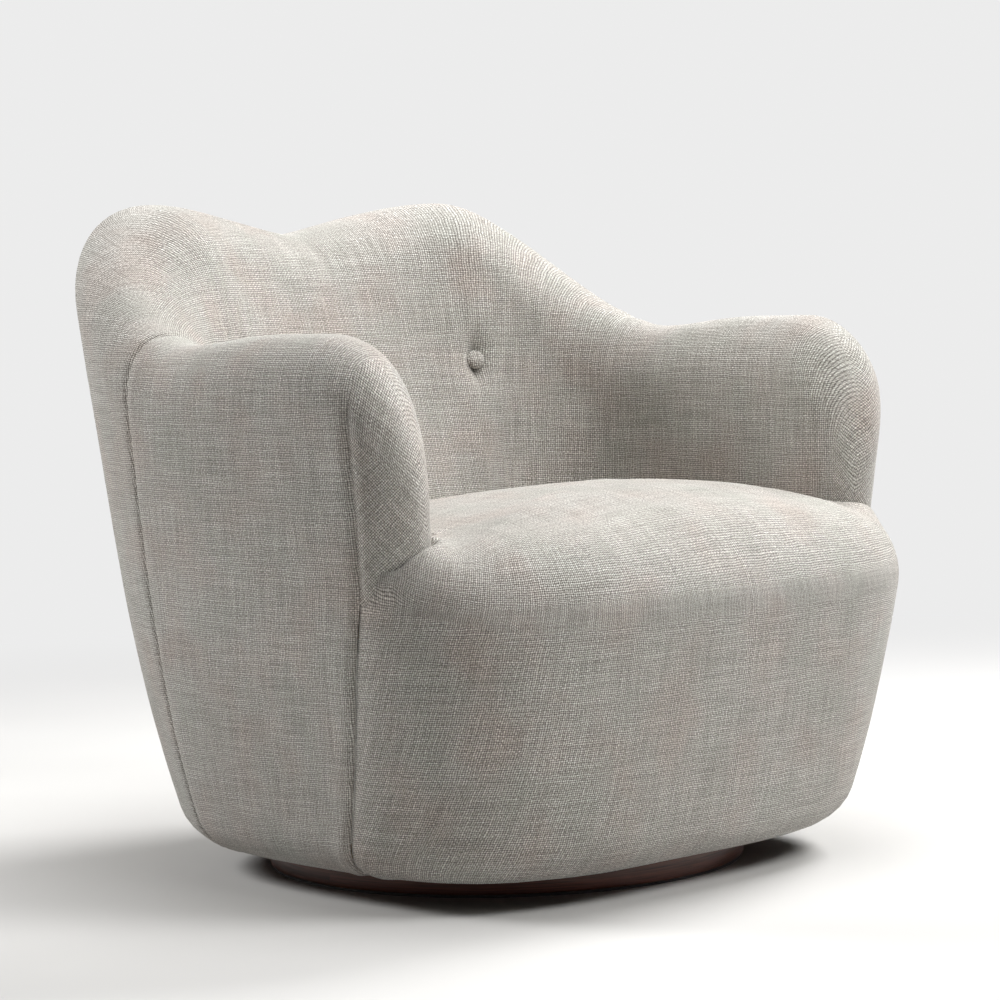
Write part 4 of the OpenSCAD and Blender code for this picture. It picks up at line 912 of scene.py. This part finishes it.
makeButton("buttonLeft", 1)
makeButton("buttonRight", -1)
print("buttons made")

# Plinth band in walnut
band = {"radius": 263.94, "wall": 14, "low": 3, "high": 46, "bevel": 2.0, "spins": 240, "bevelSteps": 3,
        "splitAngle": 50}


def makeBand():
    bm = bmesh.new()
    outer, inner = band["radius"] * mm, (band["radius"] - band["wall"]) * mm
    low, high = band["low"] * mm, band["high"] * mm
    corners = [bm.verts.new(p) for p in ((inner, 0, low), (outer, 0, low), (outer, 0, high), (inner, 0, high))]
    for a, b in zip(corners, corners[1:] + corners[:1]):
        bm.edges.new((a, b))
    spinRound(bm, band["spins"], near)
    rims = [e for e in bm.edges if abs(e.verts[0].co.z - e.verts[1].co.z) < 1e-6
            and all(abs(v.co.xy.length - outer) < near for v in e.verts)]
    bmesh.ops.bevel(bm, geom=rims, offset=band["bevel"] * mm, offset_type="OFFSET", segments=band["bevelSteps"],
                    profile=0.5, affect="EDGES", material=-1)
    bmesh.ops.recalc_face_normals(bm, faces=bm.faces)
    grain = bm.loops.layers.uv.new("grain")
    for f in bm.faces:
        middle = f.calc_center_median()
        base = math.atan2(middle.y, middle.x)
        for loop in f.loops:
            p = loop.vert.co
            angle = math.atan2(p.y, p.x)
            while angle - base > math.pi:
                angle -= math.tau
            while base - angle > math.pi:
                angle += math.tau
            loop[grain].uv = (angle * outer, p.z + (p.xy.length - inner))
    obj = meshObject("plinthBand", bm, "base", walnut)
    sharp = obj.modifiers.new("edges", "EDGE_SPLIT")
    sharp.split_angle = math.radians(band["splitAngle"])
    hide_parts("plinth_ring")


makeBand()

# Finishes of the CAD pieces that stay
stays = (
    (felt, "floor_felt"),
    (plywood, "plinth_board base_board seat_ring front_panel back_shell arm_shell_left arm_shell_right "
              "arm_posts_left arm_posts_right arm_front_board_left arm_front_board_right"),
    (pine, "plinth_blocks ring_uprights back_top_rail arm_top_rail_left arm_top_rail_right back_posts"),
    (steel, "swivel_lower_plate lower_nuts pivot_rivet swivel_upper_plate upper_nuts seat_springs"),
    (blackSteel, "lower_plate_bolts upper_plate_bolts spring_clips"),
    (ballSteel, "bearing_balls"), (brass, "ball_cage"), (webbing, "back_webbing"), (lining, "dust_cover"),
    (twine, "button_twine"), (plastic, "button_toggles"),
)
for material, names in stays:
    for name in names.split():
        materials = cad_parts[name].data.materials
        materials.clear()
        materials.append(material)

# Foam and wadding inside, rounded off from their solids
stuffing = (
    (foam, 0.7, "seat_foam"),
    (foam, 0.6, "back_foam arm_foam_left arm_foam_right arm_front_foam_left arm_front_foam_right"),
    (wadding, 0.3, "back_wadding side_wadding_left side_wadding_right front_wadding"),
    (wadding, 0.5, "edge_roll"), (wadding, 0.3, "spring_pad"),
)
press = {"button": 12, "buttonWide": 75, "seat": 14, "seatWide": 40, "seatFrom": 0.3, "seatFull": 0.34}
rounding = {"width": 0.0012, "segments": 2, "angle": 50, "flatAngle": 0.5}


def pressFoam(name, bm):  # a little further in than the cover, behind the buttons and beside the walls
    if name == "back_foam":
        for v in bm.verts:
            for side in (1, -1):
                spot = Vector((*innerXy(side * button["reach"], button["height"]), button["height"])) * mm
                deep = press["button"] * bell((v.co - spot).length / mm, press["buttonWide"]) * mm
                v.co += Vector((*outward(side * button["reach"]), 0)) * deep
    if name == "seat_foam":
        for v in bm.verts:
            share = ease(press["seatFrom"], press["seatFull"], v.co.z)
            v.co.z -= press["seat"] * bell(wallGap(v.co), press["seatWide"]) * mm * share


def makeStuffing(name, material):
    bm = bmesh.new()
    bm.from_mesh(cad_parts[name].data)
    bmesh.ops.remove_doubles(bm, verts=bm.verts, dist=near)
    bmesh.ops.dissolve_limit(bm, angle_limit=math.radians(rounding["flatAngle"]), verts=bm.verts, edges=bm.edges)
    bmesh.ops.triangulate(bm, faces=bm.faces)
    bmesh.ops.recalc_face_normals(bm, faces=bm.faces)
    pressFoam(name, bm)
    words = name.split("_")
    obj = meshObject(words[0] + "".join(w.title() for w in words[1:]) + "Pad", bm, "seat", material)
    bevel = obj.modifiers.new("rounding", "BEVEL")
    bevel.width = rounding["width"]
    bevel.segments = rounding["segments"]
    bevel.limit_method = "ANGLE"
    bevel.angle_limit = math.radians(rounding["angle"])
    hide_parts(name)


for material, fill, names in stuffing:
    for name in names.split():
        makeStuffing(name, material)
print("stuffing made")

# Camera at the photograph's viewing angle
view = {"azimuth": -44.31, "elevation": 3.725, "distance": 3.7194, "target": (-0.0029, -0.0067, 0.3974),
        "lens": 120.92, "sensor": 36, "roll": -1.523, "seesTo": 50}


def directionTo(azimuth, elevation):
    a, e = math.radians(azimuth), math.radians(elevation)
    return Vector((math.sin(a) * math.cos(e), -math.cos(a) * math.cos(e), math.sin(e)))


def makeCamera():
    azimuth, roll = math.radians(view["azimuth"]), math.radians(view["roll"])
    back = directionTo(view["azimuth"], view["elevation"])
    right = Vector((math.cos(azimuth), math.sin(azimuth), 0))
    up = back.cross(right)
    right, up = right * math.cos(roll) + up * math.sin(roll), up * math.cos(roll) - right * math.sin(roll)
    camera = bpy.data.objects.new("camera", bpy.data.cameras.new("camera"))
    scene.collection.objects.link(camera)
    camera.data.lens = view["lens"]
    camera.data.sensor_width = view["sensor"]
    camera.data.clip_end = view["seesTo"]
    turned = camera.matrix_world.to_3x3()
    turned.col[0], turned.col[1], turned.col[2] = right, up, back
    camera.matrix_world = turned.to_4x4()
    camera.location = Vector(view["target"]) + back * view["distance"]
    scene.camera = camera


makeCamera()

# Soft studio light and a pale floor
lamps = [  # name, azimuth and elevation of the lamp seen from the chair, distance, size, strength
    ("front", 20, 40, 3.2, 1.3, 57), ("side", 86, 38, 3.2, 1.3, 108), ("top", 0, 85, 2.6, 1.8, 52),
    ("rim", -144, 28, 3.0, 1.0, 60),
]
# Strength of the world's light and of the backdrop as it is seen, the floor's half size and colours, and how far
# from the chair the floor's own look goes over into the backdrop
studio = {"aim": Vector((0, 0, 0.4)), "fill": 0.03, "seen": 0.84, "floor": 40, "near": 0.75, "far": 2.6,
          "floorRough": 0.8, "mottle": 2.0, "floorStops": [(0.3, rgb(208, 207, 205)), (0.7, rgb(213, 212, 210))]}


def seenRay(tree):  # 1 where the camera, a reflection or clear material looks at the backdrop
    rays = node(tree, "ShaderNodeLightPath")
    direct = maths(tree, "MAXIMUM", rays.outputs["Is Camera Ray"], rays.outputs["Is Glossy Ray"])
    return maths(tree, "MAXIMUM", direct, rays.outputs["Is Transmission Ray"])


def makeLights():
    for name, azimuth, elevation, distance, size, power in lamps:
        lamp = bpy.data.lights.new(name, "AREA")
        lamp.shape = "DISK"
        lamp.size = size
        lamp.energy = power
        obj = bpy.data.objects.new(name, lamp)
        scene.collection.objects.link(obj)
        back = directionTo(azimuth, elevation)
        obj.rotation_euler = back.to_track_quat("Z", "Y").to_euler()
        obj.location = studio["aim"] + back * distance
    world = bpy.data.worlds.new("studio")
    scene.world = world
    world.use_nodes = True
    tree = nodeTree(world)
    strength = blendValue(tree, seenRay(tree), studio["fill"], studio["seen"])
    sky = node(tree, "ShaderNodeBackground", {"Color": (1.0, 1.0, 1.0, 1.0), "Strength": strength})
    node(tree, "ShaderNodeOutputWorld", {"Surface": sky.outputs[0]})


makeLights()


def makeFloor():
    bm = bmesh.new()
    bmesh.ops.create_grid(bm, x_segments=1, y_segments=1, size=studio["floor"])
    material, tree, surface = finishMaterial("floor", Roughness=studio["floorRough"], **{"Specular IOR Level": 0.0})
    spot = placeIn(tree)
    pale = ramp(tree, fuzz(tree, spot, studio["mottle"]), studio["floorStops"])
    far = node(tree, "ShaderNodeVectorMath", {0: spot}, operation="LENGTH").outputs["Value"]
    far = node(tree, "ShaderNodeMapRange", {"Value": far, "From Min": studio["near"], "From Max": studio["far"]},
               interpolation_type="SMOOTHSTEP").outputs[0]
    far = maths(tree, "MULTIPLY", far, seenRay(tree))
    tree.links.new(blendColour(tree, far, pale, rgb(0, 0, 0)), surface.inputs["Base Color"])
    surface.inputs["Emission Color"].default_value = (1, 1, 1, 1)
    tree.links.new(maths(tree, "MULTIPLY", far, studio["seen"]), surface.inputs["Emission Strength"])
    mesh = bpy.data.meshes.new("floor")
    bm.to_mesh(mesh)
    bm.free()
    mesh.materials.append(material)
    floor = bpy.data.objects.new("floor", mesh)
    scene.collection.objects.link(floor)


makeFloor()
scene.view_settings.view_transform = "Standard"
print("stage ready")
